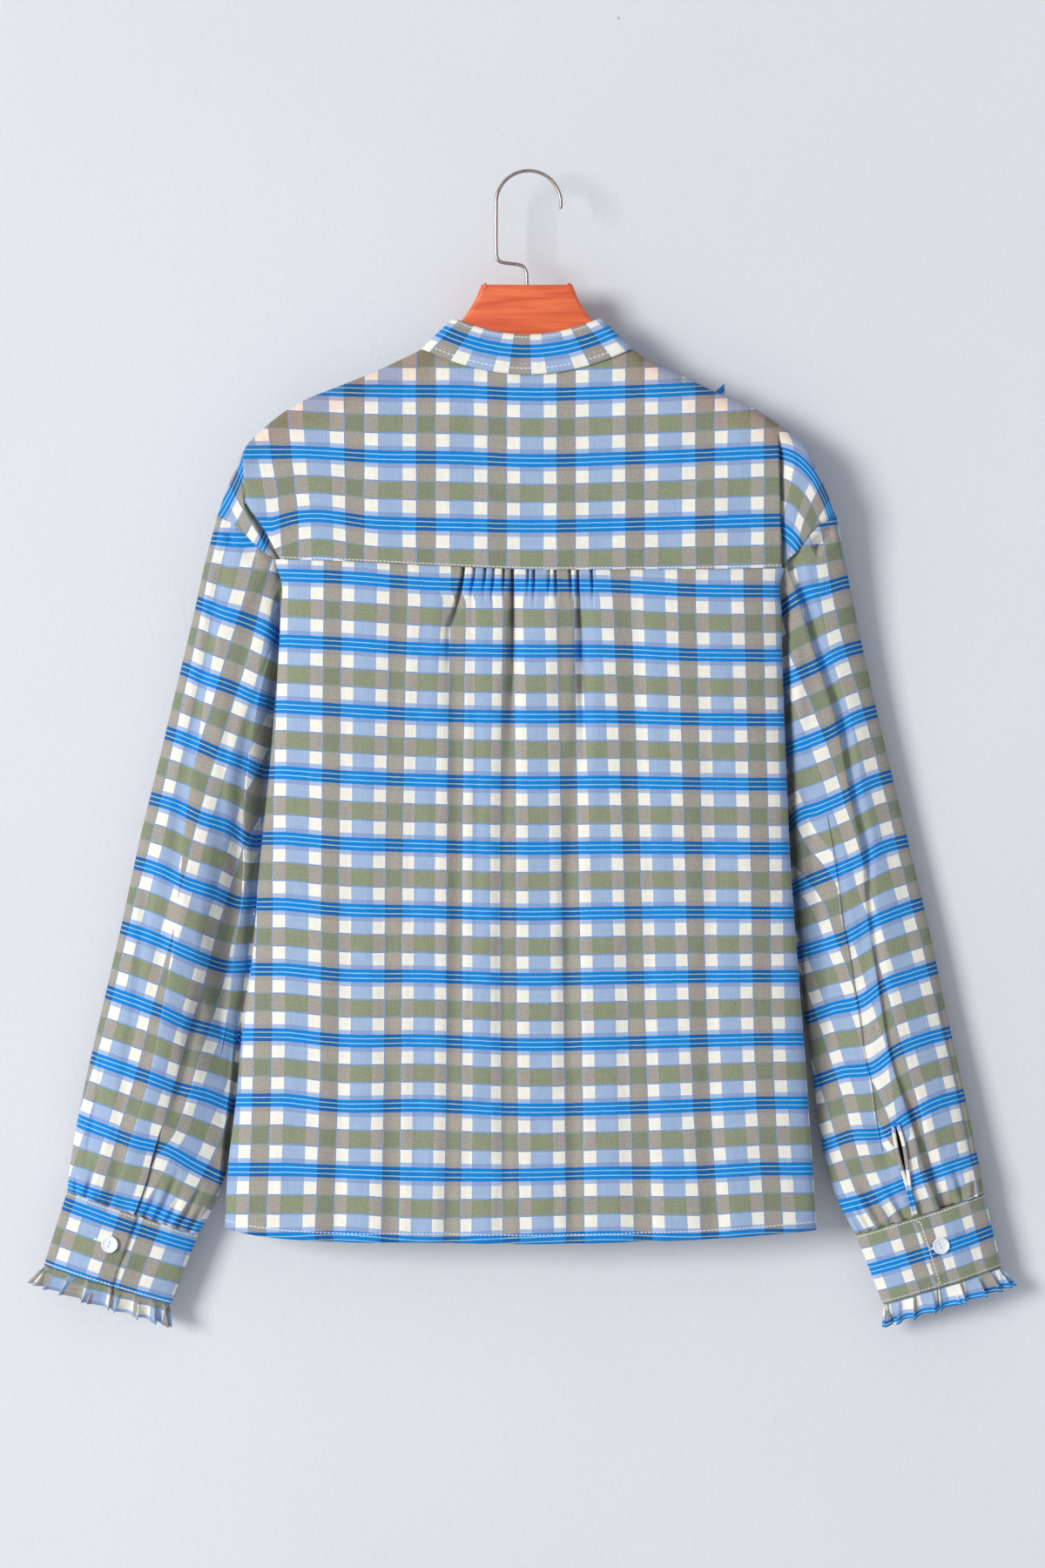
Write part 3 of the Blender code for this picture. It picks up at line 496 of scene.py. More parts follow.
SLIT_WIDTH = {-1: 0.2, 1: 1.9}  # widest half opening

# Section of a crease whose inner layer lies on top: distance inwards from the crease, depth under
# the sleeve's form, and the share of the hidden cloth used up so far.
CREASE_SECTION = Table(
    "inwards depth used",
    (-22, 0.0, 0),
    (-17, 1.1, 0),
    (-13, 2.5, 0),
    (-9, 3.8, 0),
    (-5, 3.6, 0),
    (-2, 2.4, 0),
    (0.8, 1.6, 0),
    (3.0, 1.6, 0.1),
    (3.8, 1.2, 0.4),
    (2.2, 0.8, 0.7),
    (0.4, 0.3, 0.9),
    (0.0, -0.3, 1),
    (0.6, -0.8, 1),
    (2.5, -1.1, 1),
    (6.0, -1.0, 1),
    (11, -0.6, 1),
    (18, 0.0, 1),
)

CREASE_STEP = {-1: 1.0, 1: 1.7}  # how high each sleeve's outer crease stands, against the section's depth
INNER_STEP = 0.55
INNER_THIRD_BACK = {-1: 18.0, 1: 5.0}  # how far the inner third of each sleeve turns away
BULGE = {-1: 6.0, 1: 2.5}  # how far the middle of each sleeve stands out

# Soft long hollows of the sleeves, each from its start to its end.
HOLLOWS = {
    -1: (
        (
            Table(
                "share across",
                (0.50, 0.12),
                (0.582, 0.155),
                (0.674, 0.225),
                (0.748, 0.245),
                (0.858, 0.265),
                (0.93, 0.27),
            ),
            2.6,
            5.0,
        ),
        (
            Table(
                "share across",
                (0.75, 0.07),
                (0.78, 0.08),
                (0.818, 0.095),
                (0.862, 0.10),
                (0.902, 0.105),
                (0.96, 0.11),
            ),
            1.6,
            2.0,
        ),
        (Table("share across", (0.60, 0.66), (0.638, 0.655), (0.708, 0.64), (0.794, 0.62), (0.86, 0.575)), 3.4, 5.0),
        (Table("share across", (0.05, 0.30), (0.25, 0.48), (0.45, 0.62), (0.6, 0.72)), 1.5, 9.0),
    ),
    1: (
        (Table("share across", (0.66, 0.02), (0.75, 0.03), (0.85, 0.035), (0.914, 0.04), (0.97, 0.05)), 1.4, 2.0),
        (Table("share across", (0.78, 0.42), (0.86, 0.36), (0.92, 0.33), (1.0, 0.32)), 3.2, 5.0),
        (Table("share across", (0.1, 0.62), (0.3, 0.72), (0.5, 0.80), (0.7, 0.85)), 1.5, 8.0),
        (Table("share across", (0.80, 0.66), (0.87, 0.62), (0.95, 0.60)), 2.6, 5.0),
    ),
}

# Gathers of the sleeve at its cuff: place across, wander, share of the length where each starts.
SLEEVE_GATHERS = {
    -1: Table(
        "across wander start depth width",
        (0.07, -0.02, 0.955, 4.4, 1.9),
        (0.15, 0.02, 0.93, 5.3, 2.0),
        (0.23, -0.01, 0.95, 4.8, 1.8),
        (0.31, 0.03, 0.9, 5.7, 2.3),
        (0.4, 0, 0.94, 5.3, 1.9),
        (0.47, -0.02, 0.96, 4.8, 1.8),
        (0.6, 0.02, 0.93, 5.3, 1.9),
        (0.68, 0.03, 0.9, 6.2, 2.3),
        (0.76, 0.01, 0.94, 5.3, 1.9),
        (0.85, 0.03, 0.92, 5.3, 2.0),
        (0.93, 0.01, 0.95, 4.4, 1.8),
    ),
    1: Table(
        "across wander start depth width",
        (0.08, -0.02, 0.95, 4.4, 1.9),
        (0.17, 0.01, 0.92, 5.7, 2.2),
        (0.25, -0.01, 0.95, 4.8, 1.8),
        (0.33, 0.02, 0.93, 5.7, 2.0),
        (0.42, 0.01, 0.91, 5.7, 2.2),
        (0.49, 0, 0.95, 4.8, 1.8),
        (0.62, 0.02, 0.92, 5.7, 2.2),
        (0.71, 0.01, 0.94, 5.3, 1.9),
        (0.79, 0.03, 0.91, 5.7, 2.2),
        (0.88, 0.01, 0.94, 4.8, 1.9),
        (0.95, 0, 0.96, 4.0, 1.6),
    ),
}

# Section of the slit's binding: distance from the slit's edge and depth under the sleeve's form.
BINDING_SECTION = Table(
    "width depth",
    (4.0, 1.5),
    (2.0, 1.6),
    (0.4, 1.2),
    (0.1, 0.2),
    (0.3, -0.9),
    (1.0, -1.3),
    (1.9, -1.0),
)

# Cuff from its seam with the sleeve to its frill.
CUFF = Table(
    "share left_x left_drop right_x right_drop inner_x inner_drop middle depth",
    (0.0, 344.5, 761.0, 342.5, 763.0, 246.5, 794.0, 14, 9.5),
    (1.0, 362.0, 816.5, 356.0, 818.0, 267.0, 846.0, 14, 8.5),
)
# How the check lies on each cuff: down it at the seam and at the edge, across it at the outer
# fold and per millimetre, and how much further the layer beneath starts.
CUFF_CHECK = {-1: (-0.2, 0.99, -0.017, 50.0, -0.35), 1: (-0.6, 0.59, -0.17, 45.0, -0.3)}
FRILL_CHECK = {-1: (0.5, 0.9), 1: (0.62, 1.0)}

SHOULDER_FRILL = Table(
    "share reach width",
    (0.0, 136.5, 11),
    (0.12, 136.0, 17),
    (0.5, 131.0, 20),
    (1.0, 125.0, 14),
)

# Front view of the hanger's wood, one half, as (x, drop) pairs from the top centre round to the lower one.
WOOD_NECK = ((0, 84), (31, 84), (34, 85.2), (35.6, 88), (38, 94), (42.5, 102), (49, 111), (61, 122.5), (76, 134))
WOOD_ARM = ((95.7, 144.7), (115.5, 153.6), (138.3, 165.1), (162.6, 175.6), (182.4, 187.1), (199.1, 198.8))
WOOD_TIP = ((205, 206), (208.5, 211), (210, 217.5), (206, 225), (198, 224))
WOOD_LOWER = ((172, 204), (140, 187), (110, 173), (75, 160), (40, 152), (0, 149))

# Centre line of the hook's wire below its round bend, as (x, drop) pairs.
HOOK_STEM = (
    (-23.0, 36),
    (-23.0, 50),
    (-22.8, 61),
    (-21.4, 65.4),
    (-18, 67.2),
    (-12, 68.0),
    (-7, 68.6),
    (-2.8, 70.2),
    (-0.6, 74),
    (0, 80),
    (0, 97),
)


# ---------------------------------------------------------------- the blouse's form


def shoulder_drop(x):
    """Drop of the shoulder line at x."""
    return np.where(x < 0, SHOULDER.at(abs(x), "left"), SHOULDER.at(abs(x), "right"))


def half_width(side, drop):
    """Half width of the body on one side."""
    return np.where(side < 0, BODY.at(drop, "left"), BODY.at(drop, "right"))


def squareness(ratio):
    """Depth, as a share of the full depth, at a share of the half width; it is its own inverse."""
    return (1 - np.clip(abs(ratio), 0, 1) ** BOXINESS) ** (1 / BOXINESS)


def on_body(x, drop, face):
    """Point of the body's back (face -1) or front (face 1), bent over the hanger at its top."""
    fall = np.clip((drop - shoulder_drop(x)) / RIDGE_RADIUS, 0, 1)
    bend = np.sqrt(1 - (1 - fall) ** 2)
    share = squareness(x / half_width(np.sign(x), drop)) * bend
    depth = BODY.at(drop, "back" if face < 0 else "front")
    taper = BODY.at(drop, "taper") * share if face > 0 else 0
    return np.stack([x * (1 - taper), face * depth * share, -drop + 0 * x], -1)


def side_x(side, drop, y):
    """Distance across the body, before the front's taper, where its section has depth y."""
    depth = np.where(y < 0, BODY.at(drop, "back"), BODY.at(drop, "front"))
    return side * half_width(side, drop) * squareness(y / depth)


def side_point(side, drop, y):
    """Point of the body's section near its side fold, at depth y."""
    taper = BODY.at(drop, "taper") * np.maximum(y, 0) / BODY.at(drop, "front")
    return np.stack([side_x(side, drop, y) * (1 - taper), y, -drop + 0 * y], -1)


def armhole_point(side, drop, edge):
    """Point of the armhole's back or front edge; below the underarm it is the side seam."""
    return side_point(side, drop, ARMHOLE.at(drop, edge))


def back_neck_drop(x):
    return NECK_DROP + BACK_NECK_DIP * (1 - (x / NECK_REACH) ** 2)


def neck_x(drop):
    """Half width of the front neckline at a drop."""
    share = np.clip((drop - NECK_DROP) / FRONT_NECK_DIP, 0, 1)
    return NECK_REACH * np.sqrt(1 - share**2)


def yoke_front_seam(share):
    """Drop of the yoke's front seam, at a share of the way from neck to armhole."""
    inner = NECK_DROP + YOKE_FRONT_LENGTH
    return inner + (YOKE_FRONT_CORNER - inner) * share**1.15


def ring_point(table, side, share, angle, out=0.0):
    """Point round a sleeve or cuff; angle 0 is the outer fold, and it grows over the visible side."""
    name = "left" if side < 0 else "right"
    outer = np.stack([side * table.at(share, name + "_x"), -table.at(share, name + "_drop")])
    inner = np.stack([side * table.at(share, "inner_x"), -table.at(share, "inner_drop")])
    middle, half = (outer + inner) / 2, (outer - inner) / 2
    across = np.cos(angle) * (1 + out / np.hypot(half[0], half[1]))
    y = table.at(share, "middle") - (table.at(share, "depth") + out) * np.sin(angle)
    return np.stack([middle[0] + half[0] * across, y, middle[1] + half[1] * across], -1)


# ---------------------------------------------------------------- small shared sums


def smooth(t):
    """0 to 1 with level ends, for t from 0 to 1."""
    t = np.clip(t, 0, 1)
    return t * t * (3 - 2 * t)


def groove(distance, width):
    return np.exp(-((distance / width) ** 2))


def ladder(where, rungs):
    """How many rungs have been passed at `where`, with shares between them; the end gaps run on."""
    gaps = np.diff(rungs, axis=0)
    total = np.minimum((where - rungs[0]) / gaps[0], 0)
    for k in range(len(gaps)):
        total = total + np.clip((where - rungs[k]) / gaps[k], 0, 1)
    return total + np.maximum((where - rungs[-1]) / gaps[-1], 0)


def evenly_between(known, numbers):
    """All rungs from the first to the last of `numbers`, spaced evenly between the known ones."""
    rungs = []
    for number in range(numbers[-1]):
        i = max(j for j, start in enumerate(numbers) if start <= number)
        share = (number - numbers[i]) / (numbers[i + 1] - numbers[i])
        rungs.append(known[i] + (known[i + 1] - known[i]) * share)
    return np.stack([*rungs, known[-1]])


def seen(points):
    """Across and down on the hanger's plane where the viewer sees the points."""
    scale = VIEW_AWAY / (VIEW_AWAY + points[..., 1])
    return VIEW_ACROSS + (points[..., 0] - VIEW_ACROSS) * scale, VIEW_DOWN + (-points[..., 2] - VIEW_DOWN) * scale


def crumple(x, down, size, seed):
    """Gentle unevenness from -1 to 1: a sum of waves of about that size in scattered directions."""
    chance = np.random.default_rng(seed)
    total = 0 * x
    for _ in range(9):
        heading, wave = chance.uniform(0, 2 * pi), size * chance.uniform(0.6, 1.7)
        total = total + np.sin(2 * pi * (x * cos(heading) + down * sin(heading)) / wave + chance.uniform(0, 2 * pi))
    return total / 4.5


def arc(points, axis):
    """Length along the grid's lines in that direction, from their start."""
    steps = np.linalg.norm(np.diff(points, axis=axis), axis=-1)
    shape = list(steps.shape)
    shape[axis] = 1
    return np.concatenate([np.zeros(shape), np.cumsum(steps, axis)], axis)


# ---------------------------------------------------------------- meshes


class Patch(NamedTuple):
    """Grid of points (columns, rows, 3) with its place in the check and beside the stitching."""

    points: np.ndarray
    check: np.ndarray
    rightwards: bool = True  # the outer face is the one on which columns run right while rows run down
    stitch: np.ndarray | None = None  # millimetres along the stitches, and across from their line
    warmth: np.ndarray | None = None  # share of the wood's colour that shows through


def join(patches):
    """One mesh of all patches' faces, welded where they meet; every corner keeps its own patch's check."""
    corners, start = [], 0
    for patch in patches:
        columns, rows = patch.points.shape[:2]
        a = (np.arange(columns - 1)[:, None] * rows + np.arange(rows - 1)).ravel() + start
        quads = np.stack([a, a + 1, a + rows + 1, a + rows], 1)
        corners.append(quads if patch.rightwards else quads[:, ::-1])
        start += columns * rows
    corners = np.concatenate(corners)
    mesh = bpy.data.meshes.new("cloth")
    mesh.vertices.add(start)
    points = np.concatenate([patch.points.reshape(-1, 3) for patch in patches]) * METRE
    mesh.vertices.foreach_set("co", points.astype(np.float32).ravel())
    mesh.loops.add(corners.size)
    mesh.loops.foreach_set("vertex_index", corners.astype(np.int32).ravel())
    mesh.polygons.add(len(corners))
    mesh.polygons.foreach_set("loop_start", np.arange(0, corners.size, 4, dtype=np.int32))
    mesh.update(calc_edges=True)
    for name, far in (("check", 0.0), ("stitch", NO_STITCH)):
        values = []
        for patch in patches:
            given = getattr(patch, name)
            if given is None:
                given = np.full((*patch.points.shape[:2], 2), far)
            values.append(np.asarray(given, float).reshape(-1, 2))
        layer = mesh.uv_layers.new(name=name)
        layer.data.foreach_set("uv", np.concatenate(values)[corners.ravel()].astype(np.float32).ravel())
    if any(patch.warmth is not None for patch in patches):
        warmth = [np.zeros(patch.points.shape[:2]) if patch.warmth is None else patch.warmth for patch in patches]
        layer = mesh.attributes.new("warmth", "FLOAT", "POINT")
        layer.data.foreach_set("value", np.concatenate([w.ravel() for w in warmth]).astype(np.float32))
    bm = bmesh.new()
    bm.from_mesh(mesh)
    bmesh.ops.remove_doubles(bm, verts=bm.verts, dist=WELD)
    bm.to_mesh(mesh)
    bm.free()
    mesh.polygons.foreach_set("use_smooth", np.ones(len(mesh.polygons), bool))
    return mesh


def add_piece(name, mesh, finish, slot, *nodes):
    """New object for a piece that rides on the CAD body and stands for its nodes."""
    mesh.name = name
    mesh.materials.clear()
    mesh.materials.append(finish)
    thing = bpy.data.objects.new(name, mesh)
    bpy.context.scene.collection.objects.link(thing)
    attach(thing, "root")
    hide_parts(*nodes)
    return thing


def add_cloth(name, patches, wall=None):
    """Cloth piece with its wall inwards, shown instead of the CAD node of the same name."""
    node = name.removeprefix("shown_")
    thing = add_piece(name, join(patches), shirting(), "checked_cotton", node)
    thickness = thing.modifiers.new("wall", "SOLIDIFY")
    thickness.thickness = (wall or settings().cloth) * METRE
    thickness.offset = -1
    return thing


# ---------------------------------------------------------------- materials


def linear(code):
    """Linear colour of an sRGB hex code."""
    parts = np.array([int(code[i : i + 2], 16) / 255 for i in (1, 3, 5)])
    return (*np.where(parts <= 0.04045, parts / 12.92, ((parts + 0.055) / 1.055) ** 2.4).tolist(), 1.0)


def add_node(tree, kind, inputs=(), **features):
    """New shader node with its features set, and its inputs set or joined."""
    made = tree.nodes.new("ShaderNode" + kind)
    for name, value in features.items():
        setattr(made, name, value)
    for socket, value in dict(inputs).items():
        if isinstance(value, bpy.types.NodeSocket):
            tree.links.new(value, made.inputs[socket])
        else:
            made.inputs[socket].default_value = value
    return made


def sum_of(tree, operation, *values):
    return add_node(tree, "Math", enumerate(values), operation=operation).outputs[0]


def steps(tree, where, *stops):
    """Colour that changes at once at each (start, hex code)."""
    made = add_node(tree, "ValToRGB", {0: where})
    made.color_ramp.interpolation = "CONSTANT"
    elements = made.color_ramp.elements
    while len(elements) < len(stops):
        elements.new(0.5)
    for element, (start, code) in zip(elements, stops):
        element.position = start
        element.color = linear(code)
    return made.outputs[0]


def blend(tree, share, a, b, kind="MIX"):
    made = add_node(tree, "Mix", {0: share}, data_type="RGBA", blend_type=kind)
    for socket, value in ((6, a), (7, b)):
        if isinstance(value, bpy.types.NodeSocket):
            tree.links.new(value, made.inputs[socket])
        else:
            made.inputs[socket].default_value = value
    return made.outputs[2]


def new_material(name):
    """Empty material with its output, and the tree to fill."""
    made = bpy.data.materials.new(name)
    made.use_nodes = True
    made.node_tree.nodes.clear()
    return made, made.node_tree


def finish_material(made, tree, **inputs):
    """Principled shader on the material's output."""
    shader = add_node(tree, "BsdfPrincipled", {name.replace("_", " "): value for name, value in inputs.items()})
    output = add_node(tree, "OutputMaterial", {"Surface": shader.outputs[0]})
    output.is_active_output = True
    return made


def shirting():
    """Yarn-dyed cotton shirting in plain weave: blue bands, sage bands and taupe, white and light blue stripes."""
    found = bpy.data.materials.get("yarn_dyed_cotton_shirting")
    if found:
        return found
    made, tree = new_material("yarn_dyed_cotton_shirting")
    place = add_node(tree, "SeparateXYZ", {0: add_node(tree, "UVMap", uv_map="check").outputs[0]})
    scaled_across = sum_of(tree, "MULTIPLY", place.outputs[0], REPEAT_ACROSS)
    scaled_down = sum_of(tree, "MULTIPLY", place.outputs[1], REPEAT_DOWN)
    scaled = add_node(tree, "CombineXYZ", {0: scaled_across, 1: scaled_down}).outputs[0]
    wander = add_node(tree, "TexNoise", {"Vector": scaled, "Scale": 0.12, "Detail": 2.0})
    drift = add_node(tree, "SeparateColor", {0: wander.outputs["Color"]})
    across = sum_of(tree, "MULTIPLY_ADD", drift.outputs[0], 0.012, place.outputs[0])
    down = sum_of(tree, "MULTIPLY_ADD", drift.outputs[1], 0.012, place.outputs[1])
    across = sum_of(tree, "PINGPONG", sum_of(tree, "ADD", across, 99.994), 0.5)
    down = sum_of(tree, "PINGPONG", sum_of(tree, "ADD", down, 99.994), 0.5)
    # Each kind of row crosses the same stripes: taupe, a thin line, white, light blue.
    blue = steps(tree, across, (0, "#0F60A8"), (0.14, "#1484D4"), (0.327, "#0A82D2"))
    lines = steps(tree, across, (0, "#A3C0B4"), (0.14, "#8ECDF0"))
    margin = steps(tree, across, (0, "#9C9793"), (0.125, "#7F9DC6"), (0.14, "#ABBEE0"), (0.327, "#8BA2CB"))
    light = steps(tree, across, (0, "#A59E93"), (0.125, "#7F9DC6"), (0.14, "#F6F2E5"), (0.327, "#A2B7D6"))
    thin = steps(tree, across, (0, "#8C9A9C"), (0.14, "#7F9DC6"))
    sage = steps(tree, across, (0, "#858B73"), (0.125, "#7F9DC6"), (0.14, "#A7A096"), (0.327, "#8D9579"))
    colour = blue
    for start, row in ((0.030, lines), (0.046, blue), (0.098, margin), (0.165, light), (0.352, thin), (0.374, sage)):
        colour = blend(tree, sum_of(tree, "GREATER_THAN", down, start), colour, row)
    # Flecks of the two-ply taupe and sage yarns, drawn at about 1 mm.
    in_taupe, in_sage = sum_of(tree, "LESS_THAN", across, 0.125), sum_of(tree, "GREATER_THAN", down, 0.374)
    flecked = sum_of(tree, "MAXIMUM", in_taupe, in_sage)
    flecks = add_node(tree, "TexNoise", {"Vector": scaled, "Scale": 0.85, "Detail": 3.0, "Roughness": 0.7}).outputs[0]
    fleck = add_node(tree, "MapRange", {0: flecks, 1: 0.3, 2: 0.7, 3: 0.78, 4: 1.22}).outputs[0]
    strength = sum_of(tree, "MULTIPLY_ADD", flecked, 0.75, 0.25)
    fleck_colour = add_node(tree, "CombineXYZ", {0: fleck, 1: fleck, 2: fleck}).outputs[0]
    colour = blend(tree, strength, colour, fleck_colour, "MULTIPLY")
    # Thick and thin yarns both ways.
    slubs = []
    for squeeze in ((0.05, 1.1, 1.0), (1.1, 0.05, 1.0)):
        run = add_node(tree, "VectorMath", {0: scaled, 1: squeeze}, operation="MULTIPLY").outputs[0]
        slubs.append(add_node(tree, "TexNoise", {"Vector": run, "Scale": 1.0, "Detail": 2.0}).outputs[0])
    slub = sum_of(tree, "ADD", *slubs)
    tone = add_node(tree, "MapRange", {0: slub, 1: 0.6, 2: 1.4, 3: 0.9, 4: 1.1}).outputs[0]
    tone_colour = add_node(tree, "CombineXYZ", {0: tone, 1: tone, 2: tone}).outputs[0]
    colour = blend(tree, 1.0, colour, tone_colour, "MULTIPLY")
    # The hanger's wood shows pinkish through the cloth that lies on it.
    warmth = add_node(tree, "Attribute", attribute_name="warmth").outputs["Fac"]
    colour = blend(tree, warmth, colour, linear("#FFE6DE"), "MULTIPLY")
    # White sewing thread in even stitches.
    seam = add_node(tree, "SeparateXYZ", {0: add_node(tree, "UVMap", uv_map="stitch").outputs[0]})
    near = sum_of(tree, "LESS_THAN", sum_of(tree, "ABSOLUTE", seam.outputs[1]), 0.42)
    on = sum_of(tree, "LESS_THAN", sum_of(tree, "FRACT", sum_of(tree, "DIVIDE", seam.outputs[0], 2.9)), 0.66)
    thread = sum_of(tree, "MULTIPLY", near, on)
    colour = blend(tree, sum_of(tree, "MULTIPLY", thread, 0.8), colour, linear("#EEF1F2"))
    # Plain weave and slubs catch the light; the real yarns lie 0.3 mm apart, drawn here at about 1 mm.
    height = sum_of(tree, "ADD", sum_of(tree, "MULTIPLY", slub, 0.5), sum_of(tree, "MULTIPLY", flecks, 0.5))
    height = sum_of(tree, "MULTIPLY_ADD", thread, 0.6, height)
    soft = add_node(tree, "TexNoise", {"Vector": scaled, "Scale": 0.05, "Detail": 3.0}).outputs[0]
    weave = add_node(tree, "Bump", {"Strength": 0.35, "Distance": 0.0006, "Height": height}).outputs[0]
    creased = add_node(tree, "Bump", {"Strength": 0.4, "Distance": 0.004, "Height": soft, "Normal": weave}).outputs[0]
    finish = {"Roughness": 0.85, "Specular_IOR_Level": 0.25, "Sheen_Weight": 0.08}
    return finish_material(made, tree, Base_Color=colour, **finish, Normal=creased)


def nacre():
    """Polished shell button, cool white with faint cloudy layers."""
    made, tree = new_material("polished_shell")
    here = add_node(tree, "TexCoord").outputs["Object"]
    layers = add_node(tree, "TexNoise", {"Vector": here, "Scale": 260.0, "Detail": 3.0, "Distortion": 1.2}).outputs[0]
    colour = blend(tree, layers, linear("#E6EAF0"), linear("#F9FBFD"))
    dents = add_node(tree, "Bump", {"Strength": 0.1, "Distance": 0.0003, "Height": layers}).outputs[0]
    return finish_material(made, tree, Base_Color=colour, Roughness=0.28, IOR=1.53, Normal=dents)


def lacquered_wood():
    """Turned and sanded hardwood under clear orange lacquer: long grain, fine pores, soft gloss."""
    made, tree = new_material("lacquered_hardwood")
    here = add_node(tree, "TexCoord").outputs["Object"]
    run = add_node(tree, "VectorMath", {0: here, 1: (14.0, 160.0, 160.0)}, operation="MULTIPLY").outputs[0]
    grain = add_node(tree, "TexNoise", {"Vector": run, "Scale": 1.0, "Detail": 5.0, "Distortion": 0.6}).outputs[0]
    wide = add_node(tree, "MapRange", {0: grain, 1: 0.35, 2: 0.65}).outputs[0]
    colour = blend(tree, wide, linear("#DA5831"), linear("#F87A46"))
    fine = add_node(tree, "VectorMath", {0: here, 1: (60.0, 1400.0, 1400.0)}, operation="MULTIPLY").outputs[0]
    pores = add_node(tree, "TexNoise", {"Vector": fine, "Scale": 1.0, "Detail": 2.0}).outputs[0]
    dark = add_node(tree, "MapRange", {0: pores, 1: 0.6, 2: 0.75, 3: 0.0, 4: 0.35}).outputs[0]
    colour = blend(tree, dark, colour, linear("#A83E22"))
    relief = add_node(tree, "Bump", {"Strength": 0.15, "Distance": 0.0004, "Height": pores}).outputs[0]
    finish = {"Roughness": 0.38, "IOR": 1.5, "Coat_Weight": 0.3, "Coat_Roughness": 0.2}
    return finish_material(made, tree, Base_Color=colour, **finish, Normal=relief)


def plated_wire():
    """Drawn steel wire with worn copper-grey plating and fine draw marks."""
    made, tree = new_material("plated_steel_wire")
    here = add_node(tree, "TexCoord").outputs["Object"]
    worn = add_node(tree, "TexNoise", {"Vector": here, "Scale": 420.0, "Detail": 4.0}).outputs[0]
    colour = blend(tree, worn, linear("#8F7F7D"), linear("#CDBEB8"))
    rough = add_node(tree, "MapRange", {0: worn, 1: 0.3, 2: 0.7, 3: 0.24, 4: 0.42}).outputs[0]
    marks = add_node(tree, "Bump", {"Strength": 0.2, "Distance": 0.0002, "Height": worn}).outputs[0]
    return finish_material(made, tree, Base_Color=colour, Metallic=1.0, Roughness=rough, Normal=marks)


# ---------------------------------------------------------------- yoke


def bend_rows(count, straight):
    """Rows of a panel that starts on the ridge: how far each falls in the bend, and its share of the rest."""
    fall = RIDGE_RADIUS * (1 - np.cos(np.linspace(0, pi / 2, count + 1)))
    even = np.linspace(0, 1, straight + 1)[1:]
    return np.concatenate([fall, np.full(straight, fall[-1])]), np.concatenate([0 * fall, even])


def yoke_back(share, side, fall, even):
    """Points of the yoke's back from the neck's end to the armhole: share (columns, rows) of that way."""
    edge = UPPER_END + fall + (YOKE_BACK_CORNER[side] - UPPER_END - RIDGE_RADIUS) * even
    reach = abs(side_x(side, edge, ARMHOLE.at(edge, "back")))
    first = side * (NECK_REACH + (reach[0] - NECK_REACH) * share)
    last = side * (NECK_REACH + (reach[-1] - NECK_REACH) * share)
    top, bottom = shoulder_drop(first), ACROSS.at(last, "yoke_seam")
    drop = top + fall + (bottom - top - RIDGE_RADIUS) * even
    x = side * (NECK_REACH + (reach - NECK_REACH) * share)
    points = on_body(x, drop, -1)
    end = armhole_point(side, edge, "back")
    pull = smooth((share - 0.93) / 0.07)[..., None]
    at_end = on_body(side * reach + 0 * x, edge + 0 * x, -1)
    return points + (end - at_end) * pull


def crease_share(side, fall, even):
    """Share of the way from neck to armhole at which the shoulder's end is creased, row by row."""
    edge = UPPER_END + fall + (YOKE_BACK_CORNER[side] - UPPER_END - RIDGE_RADIUS) * even
    reach = abs(side_x(side, edge, ARMHOLE.at(edge, "back")))
    down = fall / RIDGE_RADIUS * 0.08 + even * 0.92
    start, end = SHOULDER_CREASE[side]
    return (start + (end - start) * down - NECK_REACH) / (reach - NECK_REACH)


def yoke_check(points):
    x, drop = seen(points)
    return np.stack([ladder(x, YOKE_STRIPES.all_at(drop)) - 1, ladder(drop, YOKE_BANDS.all_at(x)) + 1], -1)


def shoulder_end_check(side, points):
    known = SHOULDER_END[side]

    def terms(x, drop):
        a, b = (x - side * 205) / 20, (drop - 240) / 25
        return np.stack([1 + 0 * a, a, b, a * a, a * b, b * b, b * b * b], -1)

    wanted = np.stack([known.column("stripe"), known.column("band")], 1)
    fit = np.linalg.lstsq(terms(known.column("x"), known.column("drop")), wanted, rcond=None)[0]
    return terms(*seen(points)) @ fit


